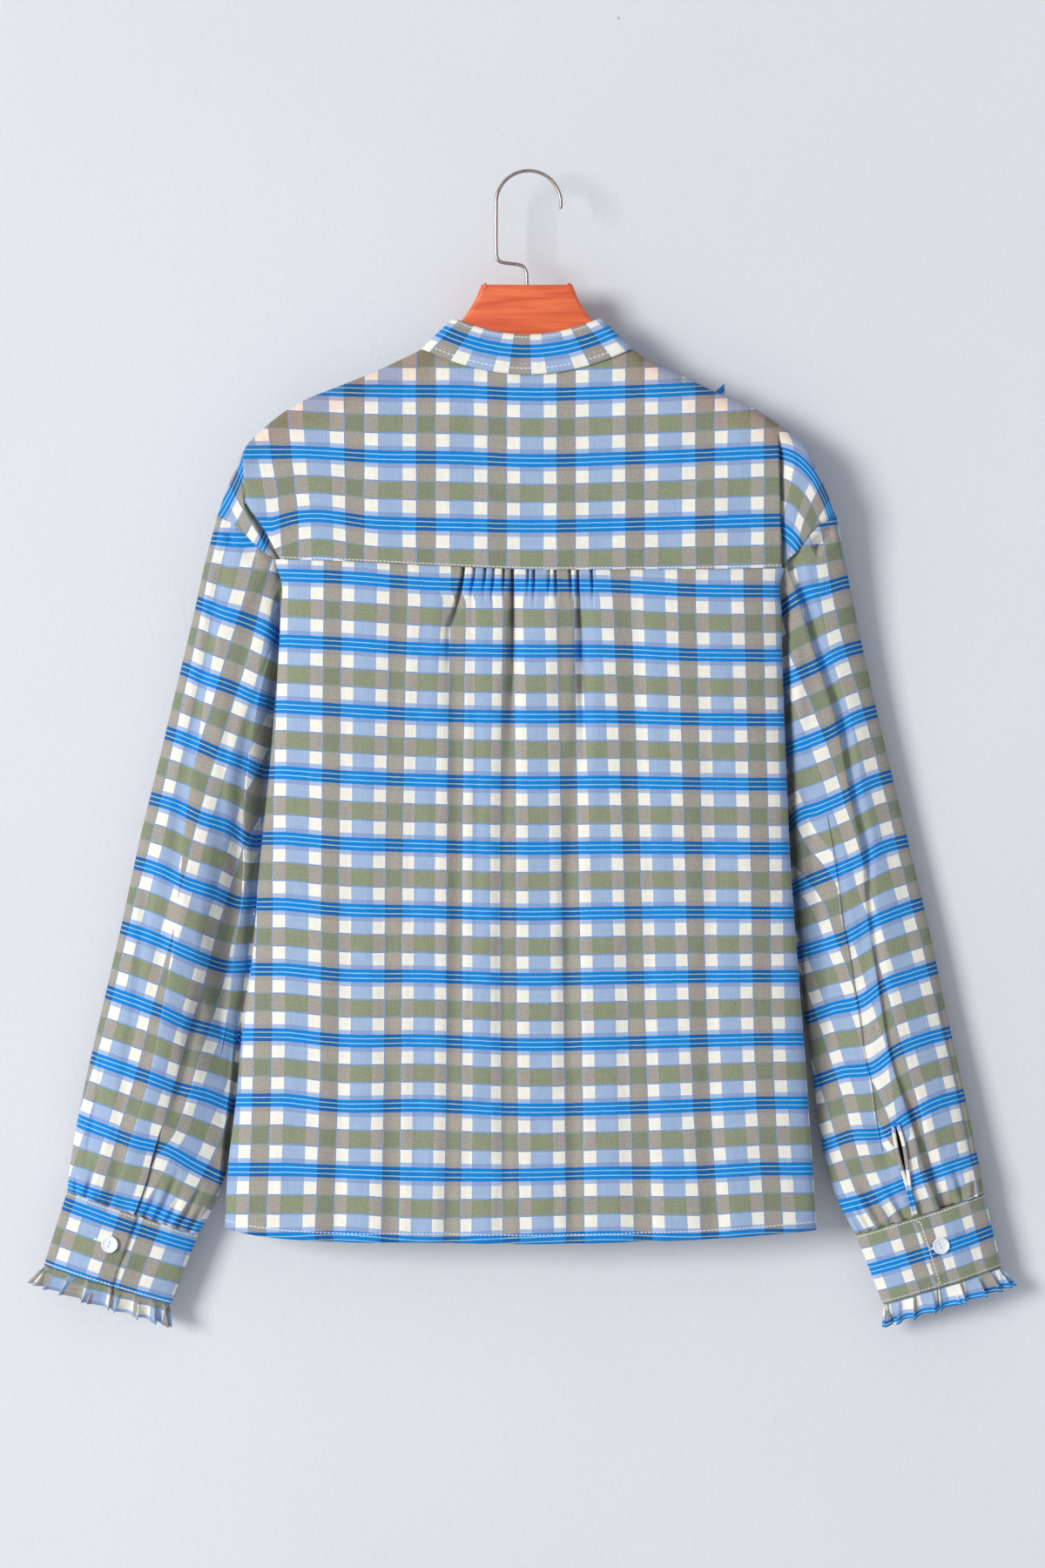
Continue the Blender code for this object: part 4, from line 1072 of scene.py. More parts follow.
def build_yoke():
    """Yoke: a grid of ridge-bent rows from crease to crease, one beyond each crease, and a flap over each shoulder."""
    fall, even = bend_rows(6, 70)
    rows = len(fall)
    deep = smooth(fall / RIDGE_RADIUS - 0.5 + even / 0.06)  # the creases start in the bend over the ridge
    parts = {}
    for side in (-1, 1):
        limit = crease_share(side, fall, even)
        share = np.linspace(0, 1, 56)[:, None] * limit
        parts[side] = yoke_back(share, side, fall, even)
        outer_share = limit + (1 - limit) * np.linspace(0, 1, 30)[:, None]
        parts[side, "end"] = yoke_back(outer_share, side, fall, even)
    x = np.linspace(-NECK_REACH, NECK_REACH, 81)[1:-1, None] + np.zeros(rows)
    top = np.where(abs(x) < NECK_REACH - 0.5, back_neck_drop(x) - 2, NECK_DROP)
    drop = top + fall + (ACROSS.at(x, "yoke_seam") - top - RIDGE_RADIUS) * even
    middle = on_body(x, drop, -1)
    middle[..., 1] += 0.9 * smooth(1 - (drop - back_neck_drop(x)) / 6)
    back = np.concatenate([parts[-1][::-1], middle, parts[1]])
    x, drop = seen(back)
    back[..., 1] += 0.5 * crumple(x, drop, 60, 3) * smooth((drop - shoulder_drop(x)) / 20)
    # Inner layer on top at each crease; it turns under and meets the lower layer out of sight.
    warmth = 0.9 * smooth(1 - (drop - shoulder_drop(x) - 4) / 26) * (abs(x) > 60)
    stitched = np.stack([x, (ACROSS.at(x, "yoke_seam") - drop) - 2.2], -1)
    patches = []
    ends = {}
    for side in (-1, 1):
        end = parts[side, "end"].copy()
        edge = back[0 if side < 0 else -1]
        away = np.linalg.norm(end - end[:1], axis=-1)
        end = end + (edge - end[0]) * groove(away, 8)[..., None]
        deepest = 5.0 + 6.0 * even
        under = np.array([0.0, 0.3, 1.0])[:, None] * deepest
        tuck = np.array([0.0, 1.0, 3.5])[:, None]
        hidden = np.repeat(edge[None], 3, 0)
        hidden[..., 0] -= side * tuck * deep
        hidden[..., 1] += under * deep
        run = away / (6 - even) if side > 0 else (away / (2 + 3 * even)) ** 2
        end[..., 1] += deepest * deep * np.exp(-run)
        start = hidden[-1:].copy()
        lower = np.concatenate([start, end])
        ends[side] = (hidden, lower)
        check = shoulder_end_check(side, lower)
        glow = 0.5 * smooth(1 - (-lower[..., 2] - shoulder_drop(lower[..., 0])) / 30)
        patches.append(Patch(lower, check, side > 0, None, glow))
        under_check = yoke_check(hidden)
        patches.append(Patch(hidden, under_check, side > 0))
    patches.append(Patch(back, yoke_check(back), True, stitched, warmth))
    for side in (-1, 1):
        patches.append(yoke_flap(side))
    cut = add_cloth("shown_yoke", patches)


def yoke_flap(side):
    """Front part of the yoke on one side, from the neck to the armhole, in ridge-bent rows."""
    fall, even = bend_rows(6, 16)
    share = np.linspace(0, 1, 60)[:, None]
    edge = UPPER_END + fall + (YOKE_FRONT_CORNER - UPPER_END - RIDGE_RADIUS) * even
    outer = abs(side_x(side, edge, ARMHOLE.at(edge, "front")))
    top = shoulder_drop(side * (NECK_REACH + (outer[0] - NECK_REACH) * share))
    drop = top + fall + (yoke_front_seam(share) - top - RIDGE_RADIUS) * even
    inner = neck_x(drop[0])
    flap = on_body(side * (inner + (outer - inner) * share), drop, 1)
    flap[-1] = armhole_point(side, edge, "front")
    x, down = flap[..., 0], -flap[..., 2]
    check = np.stack([x / REPEAT_ACROSS, (down - shoulder_drop(x)) / REPEAT_DOWN + 1], -1)
    return Patch(flap, check, side < 0)


# ---------------------------------------------------------------- back


def gather_depth(x, below):
    """How far the cloth stands in at the sharp gathers, at a distance below the yoke's seam."""
    total = 0 * x
    for start, wander, length, depth, width in GATHERS.rows:
        fade = np.exp(-((below / length) ** 2))
        middle = start + wander * np.clip(below / length, 0, 1) ** 1.5
        total = total + depth * fade * groove(x - middle, width * (1 + below / 40))
    return total


def let_out(x, below):
    """Place across once the cloth hidden in the gathers is let out."""
    total = x
    for start, wander, length, depth, width in GATHERS.rows:
        fade = np.exp(-((below / length) ** 2))
        middle = start + wander * np.clip(below / length, 0, 1) ** 1.5
        total = total + CLOTH_IN_GATHER * depth * fade * np.tanh((x - middle) / width)
    return total


def fold_depth(x, share):
    """How far the back's soft folds stand in at x, at a share of the way from yoke to hem."""
    total = 0 * x
    for x_top, x_hem, depth_top, depth_hem, width in SOFT_FOLDS.rows:
        middle = x_top + (x_hem - x_top) * share + 2.5 * np.sin(7 * share + x_top)
        depth = depth_top + (depth_hem - depth_top) * share
        total = total + depth * groove(x - middle, width)
    return total * (1 - np.exp(-share / 0.05))


def build_back():
    """Back panel: columns from side fold to side fold and round each to its seam, rows closer where it is gathered."""
    pull = settings().gathers
    below = np.concatenate([np.linspace(-4, 60, 44), np.linspace(60, 500, 74)[1:]]) / 500
    share = np.clip(below, 0, None)
    edges = {side: YOKE_BACK_CORNER[side] + (HEM_CORNER[side] - YOKE_BACK_CORNER[side]) * share for side in (-1, 1)}
    turn_reach = {side: abs(side_x(side, edges[side], -TURN_START * BODY.at(edges[side], "back"))) for side in (-1, 1)}
    dense, plain = np.arange(-62, 62.1, 0.45), np.linspace(62, 156, 32)[1:]
    reference = np.concatenate([-plain[::-1], dense, plain]) / 156
    left, right = -turn_reach[-1], turn_reach[1]
    x = np.where(reference[:, None] < 0, -left * reference[:, None], right * reference[:, None])
    top, hem = ACROSS.at(x, "yoke_seam"), ACROSS.at(x, "hem")
    drop = top + (hem - top) * below
    inner = on_body(x, drop, -1)
    under = drop - top
    inner[..., 1] += fold_depth(x, share) + pull * gather_depth(x, np.maximum(under, 0))
    inner[..., 1] -= 1.6 * groove(under - 9, 8) * smooth((66 - abs(x)) / 25)
    inner[..., 1] += 1.5 * smooth(1 - under / 5)
    inner[..., 1] += 0.7 * crumple(x, drop * 0.4, 55, 11) * share**0.3
    turns = {}
    for side in (-1, 1):
        back = BODY.at(edges[side], "back")
        end = ARMHOLE.at(edges[side], "back") / back
        along = np.linspace(0, 1, 17)[:, None]
        y = back * (-TURN_START + (end + TURN_START) * along)
        column = side_point(side, edges[side] + 0 * y, y)
        lower = ACROSS.at(column[..., 0], "yoke_seam") - edges[side][0]
        lift = ACROSS.at(column[..., 0], "hem") - edges[side][-1]
        column[..., 2] -= lower * (1 - share) + lift * share
        start = inner[0 if side < 0 else -1]
        column += (start - column[0]) * groove(along / 0.4, 1)[..., None]
        turns[side] = column
    grid = np.concatenate([turns[-1][:0:-1], inner, turns[1][1:]])
    flat_x, flat_drop = seen(grid)
    v = ladder(flat_drop, evenly_between(BACK_BANDS.all_at(flat_x), BACK_BANDS_KNOWN))
    stripes = BACK_STRIPES.all_at(v)
    hung = np.maximum(-grid[..., 2] - ACROSS.at(grid[..., 0], "yoke_seam"), 0)
    u = ladder(let_out(flat_x, hung), let_out(stripes, hung))
    round_left, round_right = arc(grid[16::-1], 0)[::-1], arc(grid[-17:], 0)
    u[:16] = u[16] - round_left[:16] / REPEAT_ACROSS
    u[-16:] = u[-17] + round_right[1:] / REPEAT_ACROSS
    stitch = np.stack([grid[..., 0], (ACROSS.at(grid[..., 0], "hem") + grid[..., 2]) - 6.5], -1)
    cut = add_cloth("shown_back_panel", [Patch(grid, np.stack([u, v], -1), True, stitch)])


# ---------------------------------------------------------------- collar


def build_collar():
    """Band collar: its foot follows the neckline, its top leans in, and rows run between them."""
    across = NECK_REACH * np.sin(np.linspace(-pi / 2, pi / 2, 121))
    back = on_body(across, back_neck_drop(across), -1)
    fall, even = bend_rows(5, 8)
    over = NECK_DROP + fall + (YOKE_FRONT_LENGTH - RIDGE_RADIUS) * even
    start = np.arcsin(YOKE_FRONT_LENGTH / FRONT_NECK_DIP)
    drops = np.concatenate([over, NECK_DROP + FRONT_NECK_DIP * np.sin(np.linspace(start, pi / 2, 40)[1:])])
    half = {side: on_body(side * neck_x(drops), drops, 1) for side in (-1, 1)}
    foot = np.concatenate([half[-1][:0:-1], back, half[1][1:]])
    forward = foot[:, 1] > 0
    below = (-foot[:, 2] - NECK_DROP) / FRONT_NECK_DIP
    swing = np.where(forward, below, np.sqrt(1 - np.clip(foot[:, 0] / NECK_REACH, -1, 1) ** 2)).clip(0, 1)
    top_drop = np.where(
        forward,
        COLLAR_SIDE_TOP + (COLLAR_FRONT_TOP - COLLAR_SIDE_TOP) * swing**1.4,
        COLLAR_SIDE_TOP + (COLLAR_BACK_TOP - COLLAR_SIDE_TOP) * swing**2,
    )
    top_y = np.where(forward, 16.0, -10.5) * swing**0.3
    top_x = np.sign(foot[:, 0]) * COLLAR_TOP_REACH * np.sqrt(1 - swing**2)
    top = np.stack([top_x, top_y, -top_drop], -1)
    for end, side in ((0, -1), (-1, 1)):
        foot[end, 0] = top[end, 0] = side * 4.0
    down = np.linspace(0, 1, 15)[:, None]
    grid = top[:, None] + (foot - top)[:, None] * down
    grid[..., 1] -= 1.1 * down[:, 0] * (~forward)[:, None]
    grid[..., 1] -= 1.5 * np.sin(pi * down[:, 0]) * (~forward)[:, None]
    height = np.linalg.norm(foot - top, axis=1)[:, None]
    x, _ = seen(grid)
    grid[..., 1] += 1.2 * groove(x + 5, 5) * groove(down[:, 0] - 0.65, 0.2) * (~forward)[:, None]
    middle = arc(grid, 0)[:, 7]
    u = (middle - np.interp(-4.5, grid[40:-40, 7, 0], middle[40:-40]))[:, None] / REPEAT_ACROSS + 0 * down[:, 0]
    v = -0.253 + 0.595 * down[:, 0] + 0 * height
    from_foot = (1 - down[:, 0]) * height
    across = np.where(from_foot > 8, (down[:, 0] * height) - 2.0, from_foot - 4.6)
    stitch = np.stack([middle[:, None] + 0 * across, across], -1)
    cut = add_cloth("shown_collar", [Patch(grid, np.stack([u, v], -1), True, stitch)], 1.1)


# ---------------------------------------------------------------- sleeves


def armhole_loop(side):
    """Points round the armhole from the shoulder's end, down its back to the underarm and up its front."""
    back = np.linspace(0, 1, 90) ** 1.6
    down = armhole_point(side, UPPER_END + (UNDERARM_DROP - UPPER_END) * back, "back")
    up = armhole_point(side, UPPER_END + (UNDERARM_DROP - UPPER_END) * back[::-1], "front")
    angles = []
    for points, start in ((down, 0), (up, pi)):
        steps_between = np.linalg.norm(np.diff(points, axis=0), axis=1)
        along = np.concatenate([[0], np.cumsum(steps_between)]) / steps_between.sum()
        angles.append(start + along * pi)
    return np.concatenate([angles[0], angles[1][1:]]), np.concatenate([down, up[1:]])


def angle_of(across):
    """Angle round a sleeve at a share across its visible side."""
    return np.arccos(1 - 2 * np.clip(across, 0, 1))


def slit_opening(side, share):
    """Half opening of the slit in millimetres, nothing above its top."""
    along = np.clip((share - SLIT_TOP) / (1 - SLIT_TOP), 0, 1)
    return np.where(along > 0, 0.15 + SLIT_WIDTH[side] * np.sin(pi * np.clip(along / 0.66, 0, 1) ** 0.7), 0)


def creased_span(side, share, start, crease, end, counts, step):
    """Angles across part of a sleeve with a crease in it: angles, depths and share of the hidden cloth passed."""
    middle = angle_of(crease.at(share, "across"))
    hidden = np.clip(crease.at(share, "hidden"), 0, None)
    strength = settings().creases * smooth(hidden / 0.2)
    radius = ring_radius(side, share) * np.sin(middle).clip(0.25)
    offset = CREASE_SECTION.column("inwards")[:, None] * strength / radius
    room_before, room_after = (middle - start) * 0.8, (end - middle) * 0.8
    wanted = strength / radius
    squeeze = np.minimum(room_before / (22 * wanted + 1e-6), room_after / (18 * wanted + 1e-6)).clip(0, 1)
    fold = middle + offset * squeeze
    before = start + (fold[0] - start) * np.linspace(0, 1, counts[0] + 1)[:-1, None]
    after = fold[-1] + (end - fold[-1]) * np.linspace(0, 1, counts[1] + 1)[1:, None]
    angle = np.concatenate([before, fold, after])
    depth = step * CREASE_SECTION.column("depth")[:, None] * strength * squeeze
    depth = np.concatenate([0 * before, depth, 0 * after])
    passed = np.concatenate([0 * before, CREASE_SECTION.column("used")[:, None] + 0 * hidden, 0 * after + 1])
    return angle, depth, passed


def ring_radius(side, share):
    """Half the width of a sleeve's ring."""
    name = "left" if side < 0 else "right"
    outer = SLEEVE.at(share, name + "_x"), SLEEVE.at(share, name + "_drop")
    inner = SLEEVE.at(share, "inner_x"), SLEEVE.at(share, "inner_drop")
    return np.hypot(outer[0] - inner[0], outer[1] - inner[1]) / 2


def sleeve_points(side, share, angle, depth):
    """Points of a sleeve; its rings take the armhole's shape at their start."""
    angles, loop = armhole_loop(side)
    turn = np.mod(angle, 2 * pi)
    base = ring_point(SLEEVE, side, 0 * share, turn)
    first = np.stack([np.interp(turn, angles, loop[:, k]) for k in range(3)], -1)
    fade = np.maximum(0, 1 - share / ARMHOLE_FADE) ** 2
    points = ring_point(SLEEVE, side, share, angle) + (first - base) * fade[..., None]
    # Beside the body the sleeve drops away behind it, which leaves a narrow deep gap.
    beside = side * points[..., 0] - half_width(side, -points[..., 2])
    facing = smooth(np.clip(np.sin(angle), 0, 1) / 0.4)
    behind = smooth((GAP_BESIDE_BODY - beside) / 3.0) * smooth(share / 0.03)
    lip = groove(beside - 10, 6) * smooth(share / 0.1) * (1 - smooth((share - 0.6) / 0.2))
    points[..., 1] += depth + (4.0 + 8.0 * facing) * behind - 3.0 * facing * lip
    # What would reach the wall behind flattens softly against it.
    beyond = np.clip(points[..., 1] - 24, 0, None)
    points[..., 1] += 9 * (1 - np.exp(-beyond / 9)) - beyond
    return points


def sleeve_edges(side, share):
    """Outer and inner fold of a sleeve's flat outline, as (reach, drop)."""
    name = "left" if side < 0 else "right"
    outer = np.stack([SLEEVE.at(share, name + "_x"), SLEEVE.at(share, name + "_drop")])
    inner = np.stack([SLEEVE.at(share, "inner_x"), SLEEVE.at(share, "inner_drop")])
    return outer, inner


def flat_place(side, points, share, angle):
    """Share along and share across a sleeve at which its points are seen: one straight step from its plain ring."""
    near, across = np.clip(share, 0.08, 0.97), (1 - np.cos(angle)) / 2
    outer, inner = sleeve_edges(side, near)
    further, beyond = sleeve_edges(side, near + 0.02)
    wide = inner - outer
    along = (further - outer + (beyond - further - wide) * across) / 0.02
    moved = np.stack(seen(points)) - np.stack(seen(ring_point(SLEEVE, side, share, angle)))
    turn = along[0] * wide[1] - along[1] * wide[0]
    forward = side * moved[0] * wide[1] - moved[1] * wide[0]
    inward = along[0] * moved[1] - along[1] * side * moved[0]
    return share + forward / turn, across + inward / turn


def sleeve_check(side, share, angle, passed, points):
    """Place in the check round a sleeve: its stripes run straight between the folds, creases and slit of each share."""
    front = np.sin(angle) < -1e-9
    share, across = flat_place(side, points, share, angle)
    near = np.clip(share, 0, 1)
    first, second = OUTER_CREASE[side].at(near, "across"), INNER_CREASE[side].at(near, "across")
    outer, before, after, ahead, past, inner = (SLEEVE_STRIPES[side].at(near, name) for name in STRIPE_PLACES)
    wide = 2 * ring_radius(side, near) / REPEAT_ACROSS
    u = outer + (before - outer) * across / first
    middle = after + (ahead - after) * (across - first) / (second - first)
    # Along the slit some cloth is folded away, so each side follows its own crease.
    beside = after + (across - first) * wide
    beyond = ahead - (second - across) * wide
    middle = middle + smooth((near - SLIT_TOP) / 0.06) * (beside + passed[1] * (beyond - beside) - middle)
    u = u + passed[0] * (middle - u)
    u = u + passed[2] * (past + (inner - past) * (across - second) / (1 - second) - u)
    u = np.where(front, outer - across * wide, u)
    v = ladder(share + 0 * across, SLEEVE_BANDS[side].all_at(across))
    return np.stack([u, v], -1)


def sleeve_relief(side, share, angle):
    """Gathers above the cuff, soft hollows and gentle unevenness; positive values lie deeper."""
    across = (1 - np.cos(angle)) / 2
    width = 2 * ring_radius(side, share)
    end = smooth((share - 0.975) / 0.022)
    total = 0.9 * crumple(across * width, share * 200, 45, 21 + side) * np.sin(pi * np.clip(share, 0, 1)) ** 0.5
    for line, depth, size in HOLLOWS[side]:
        total = total + depth * hollow_strength(line, share) * groove((across - line.at(share, "across")) * width, size)
    back = smooth((across - 0.52) / 0.36) - 0.6 * smooth((across - 0.9) / 0.1)
    whole = smooth(share / 0.12) * (1 - smooth((share - 0.88) / 0.12))
    back = back * (1 - 0.8 * smooth((share - 0.6) / 0.2))
    total = total + (INNER_THIRD_BACK[side] * back - BULGE[side] * groove(across - 0.42, 0.25)) * whole
    on_top = CUFF_STEP * smooth((CUFF_END + 0.1 - angle) / 0.1)
    total = (total - 3.6 * smooth((share - 0.92) / 0.05)) * (1 - 0.7 * end) - (0.6 + on_top) * end
    for middle, wander, start, depth, size in SLEEVE_GATHERS[side].rows:
        ramp = smooth((share - start) / (1 - start))
        line = middle + wander * (1 - share) / (1 - start)
        total = total + settings().gathers * depth * ramp * (1 - 0.45 * end) * groove((across - line) * width, size)
    return total


def hollow_strength(line, share):
    """0 to 1 along a hollow that fades at both of its ends."""
    start, end = line.rows[0, 0], line.rows[-1, 0]
    return smooth((share - start) / 0.06) * smooth((end - share) / 0.06)


def build_sleeve(name, side):
    """Sleeve in three grids of rings: outer fold to slit and slit to inner fold, both creased, and its front."""
    rows = np.concatenate([np.linspace(0, 0.86, 84), np.linspace(0.86, 1, 44)[1:]])
    slit = angle_of(SLIT_LINE[side].at(rows, "across"))
    gap = slit_opening(side, rows) / ring_radius(side, rows)
    outer = creased_span(side, rows, 0 * rows, OUTER_CREASE[side], slit - gap, (40, 30), CREASE_STEP[side])
    inner = creased_span(side, rows, slit + gap, INNER_CREASE[side], 0 * rows + pi, (28, 30), INNER_STEP)
    patches = []
    for inwards, (angle, depth, passed) in enumerate((outer, inner)):
        share = rows + 0 * angle
        relief = sleeve_relief(side, share, angle) * smooth(np.sin(angle) / 0.5)
        away = np.abs(angle - slit) * ring_radius(side, share)
        lap = smooth((share - SLIT_TOP) / 0.05) * (4.5 if inwards and side < 0 else 1.5) * np.exp(-away / 14)
        points = sleeve_points(side, share, angle, depth + relief + lap)
        folds_passed = (1, 1, passed) if inwards else (passed, 0, 0)
        patches.append(Patch(points, sleeve_check(side, share, angle, folds_passed, points), side < 0))
    angle = np.linspace(pi, 2 * pi, 31)[:, None] + 0 * rows
    share = rows + 0 * angle
    points = sleeve_points(side, share, angle, 0 * angle)
    points[..., 1] += 1.5 * crumple(angle * 50, share * 300, 60, 5) * np.sin(angle) ** 2
    # The front stays clear of the shaped layer that faces the room.
    mirrored = 2 * pi - angle
    facing = sleeve_points(side, share, mirrored, sleeve_relief(side, share, mirrored) * smooth(-np.sin(angle) / 0.5))
    points[..., 1] = np.maximum(points[..., 1], facing[..., 1] + 2.5 * np.sqrt(np.clip(-np.sin(angle), 0, 1)))
    patches.append(Patch(points, sleeve_check(side, share, angle, (0, 0, 0), points), side < 0))
    cut = add_cloth("shown_" + name, patches)


def build_binding(name, side):
    """Bound edge round the slit: a narrow strip that wraps from the sleeve's outside over the edge to its inside."""
    share = np.linspace(0.995, SLIT_TOP + 0.004, 24)
    middle = angle_of(SLIT_LINE[side].at(share, "across"))
    radius = ring_radius(side, share)
    width = BINDING_SECTION.column("width")[:, None] * (1.0 if side > 0 else 0.3)
    depth = BINDING_SECTION.column("depth")[:, None] + (0.0 if side > 0 else 6.5)
    round_edge = np.arange(len(width))[:, None] + 0 * share
    rise = 0.012 * (share < SLIT_TOP + 0.012) * width / 4.5
    halves, checks = [], []
    for way in (1, -1):
        edge = middle + way * (slit_opening(side, share) + width) / radius
        points = sleeve_points(side, share - rise, edge, depth + sleeve_relief(side, share + 0 * width, edge))
        halves.append(points)
        checks.append(np.stack([0.2 + 0.02 * round_edge, 0.05 + (share - SLIT_TOP) * 8 + 0 * width], -1))
    grid = np.concatenate([halves[0], halves[1][:, ::-1]], 1)
    check = np.concatenate([checks[0], checks[1][:, ::-1]], 1)
    cut = add_cloth("shown_" + name, [Patch(grid, check, side < 0)], 0.8)


# ---------------------------------------------------------------- cuffs


def cuff_turn(count):
    """Angles round a cuff from its under end to the end on top, and how far each stands out."""
    turn = np.linspace(CUFF_END - CUFF_OVERLAP, CUFF_END + 2 * pi, count + 1)
    ramp = np.clip((turn - (CUFF_END + 2 * pi - CUFF_OVERLAP - CUFF_RAMP)) / CUFF_RAMP, 0, 1)
    return turn[:, None], (CUFF_STEP * smooth(ramp))[:, None]


def cuff_across(side, turn):
    """Place across the check round a cuff."""
    *_, fold, pitch, beneath = CUFF_CHECK[side]
    radius = 52.0
    angle = np.mod(turn, 2 * pi)
    away = radius * (1 - np.cos(angle))
    on_top = turn > 2 * pi - 0.001
    below = np.where(angle < pi, fold + beneath + away / pitch, fold - away / pitch)
    return np.where(on_top, fold + away / pitch, below)


def build_cuff(name, side):
    """Cuff: a band of rings round the wrist whose end lies on top of its start."""
    turn, out = cuff_turn(150)
    share = np.sort(np.append(np.linspace(0, 1, 22), BUTTON_DOWN + np.array([-0.015, 0, 0.015])))
    grid = ring_point(CUFF, side, share, turn, out)
    puff = 1.4 * np.sin(pi * share) ** 0.6 + 0.4 * crumple(turn * 50, share * 60, 30, 7 + side)
    grid[..., 1] -= puff * np.clip(np.sin(turn), -1, 1)
    u = cuff_across(side, turn) + 0 * share
    v = CUFF_CHECK[side][0] + (CUFF_CHECK[side][1] - CUFF_CHECK[side][0]) * share + 0 * turn
    height = 58.0
    top_end = (CUFF_END + 2 * pi - turn) * 51.0
    line = np.where(share * height < 10, share * height - 2.0, (1 - share) * height - 2.0) + 0 * turn
    near_end = (side > 0) & (top_end < 10) & (share * height > 5) & ((1 - share) * height > 5)
    line = np.where(near_end, top_end - 2.5, line)
    along = np.where(near_end, share * height, turn * 52)
    # Close stitches round the buttonhole, which shows beside its button.
    middle, reach = (11.7, 8.6) if side > 0 else (15.5, 9.5)
    hole = (abs(top_end - middle) < reach) & (abs(share - BUTTON_DOWN) < 0.05)
    line = np.where(hole, abs(share - BUTTON_DOWN) * height * 0.5, line)
    along = np.where(hole, 0, along)
    cut = add_cloth("shown_" + name, [Patch(grid, np.stack([u, v], -1), side < 0, np.stack([along, line], -1))], 1.2)


def build_frill(name, side):
    """Ruffle in the cuff's lower edge: rings that flare downwards with sharp, uneven pleats."""
    turn, out = cuff_turn(FRILL_WAVES * 18)
    share = np.linspace(0, 1, 10)
    top = ring_point(CUFF, side, 1.0 + 0 * turn, turn, out)
    upper = ring_point(CUFF, side, 0.0 * turn, turn, out)
    down = (top - upper) / np.linalg.norm(top - upper, axis=-1, keepdims=True)
    outward = ring_point(CUFF, side, 1.0 + 0 * turn, turn, out + 1) - top
    phase = FRILL_WAVES * (turn - turn[0]) + 0.8 * np.sin(2.7 * turn)
    wave = np.sin(phase + 0.6 * np.sin(phase))
    shift = 3.0 * share**1.3 + 3.8 * wave * share**0.8 - 1.2 * (1 - share)
    lean = 3.0 * share * np.cos(phase)
    tangent = np.gradient(top[:, 0], axis=0)
    tangent = tangent / np.linalg.norm(tangent, axis=-1, keepdims=True)
    depth = FRILL_DEPTH * (1 + 0.06 * wave)
    grid = top + down * (depth * share)[..., None] + outward * shift[..., None] + tangent[:, None] * lean[..., None]
    fold = CUFF_CHECK[side][2]
    u = cuff_across(side, turn) * 1.7 + 0.15 * wave + fold + 0 * share
    start, end = FRILL_CHECK[side]
    v = start + (end - start) * share + 0 * turn
    cut = add_cloth("shown_" + name, [Patch(grid, np.stack([u, v], -1), side < 0)], 0.7)


def button_mesh(centre, normal, up):
    """Shell button: rings of points from its middle over a raised rim to its back, with two round holes sunk in."""
    profile = [(r, 1.55 - 0.25 * groove(r - 2.0, 2.5)) for r in np.linspace(0, 4.2, 19)]
    profile += [(4.7, 1.7), (5.2, 2.0), (5.7, 2.2), (6.1, 2.05), (6.35, 1.6)]  # raised rim
    profile += [(6.4, 1.1), (6.3, 0.5), (5.9, 0.1), (5.2, 0.0), (0, 0)]  # edge and back
    r, z = np.array(profile).T
    angle = np.linspace(0, 2 * pi, 73)[:, None]
    x, y = r * np.cos(angle), r * np.sin(angle)
    height = z + 0 * angle
    for hole in (-1.45, 1.45):
        height = height - 1.3 * smooth((1.15 - np.hypot(x, y - hole)) / 0.35) * (np.arange(len(r)) < 20)
    out = Vector(normal).normalized()
    top = Vector(up).normalized()
    side_way = top.cross(out).normalized()
    top = out.cross(side_way)
    basis = np.array([side_way, top, out])
    local = np.stack([x, y, height + 0.5], -1)
    points = np.asarray(centre) + local @ basis
    return join([Patch(points, np.stack([x, y], -1) / 10, True)])


def build_cuff_button(name, side):
    turn = CUFF_END - BUTTON_BACK
    centre = ring_point(CUFF, side, BUTTON_DOWN, turn, CUFF_STEP)
    normal = ring_point(CUFF, side, BUTTON_DOWN, turn, CUFF_STEP + 1) - centre
    centre = centre - np.array([0, 1.3, 0])
    up = ring_point(CUFF, side, 0.0, turn, 0) - ring_point(CUFF, side, 1.0, turn, 0)
    add_piece("shown_" + name, button_mesh(centre, normal, up), shell(), "button", name)


def shell():
    return bpy.data.materials.get("polished_shell") or nacre()


# ---------------------------------------------------------------- fronts


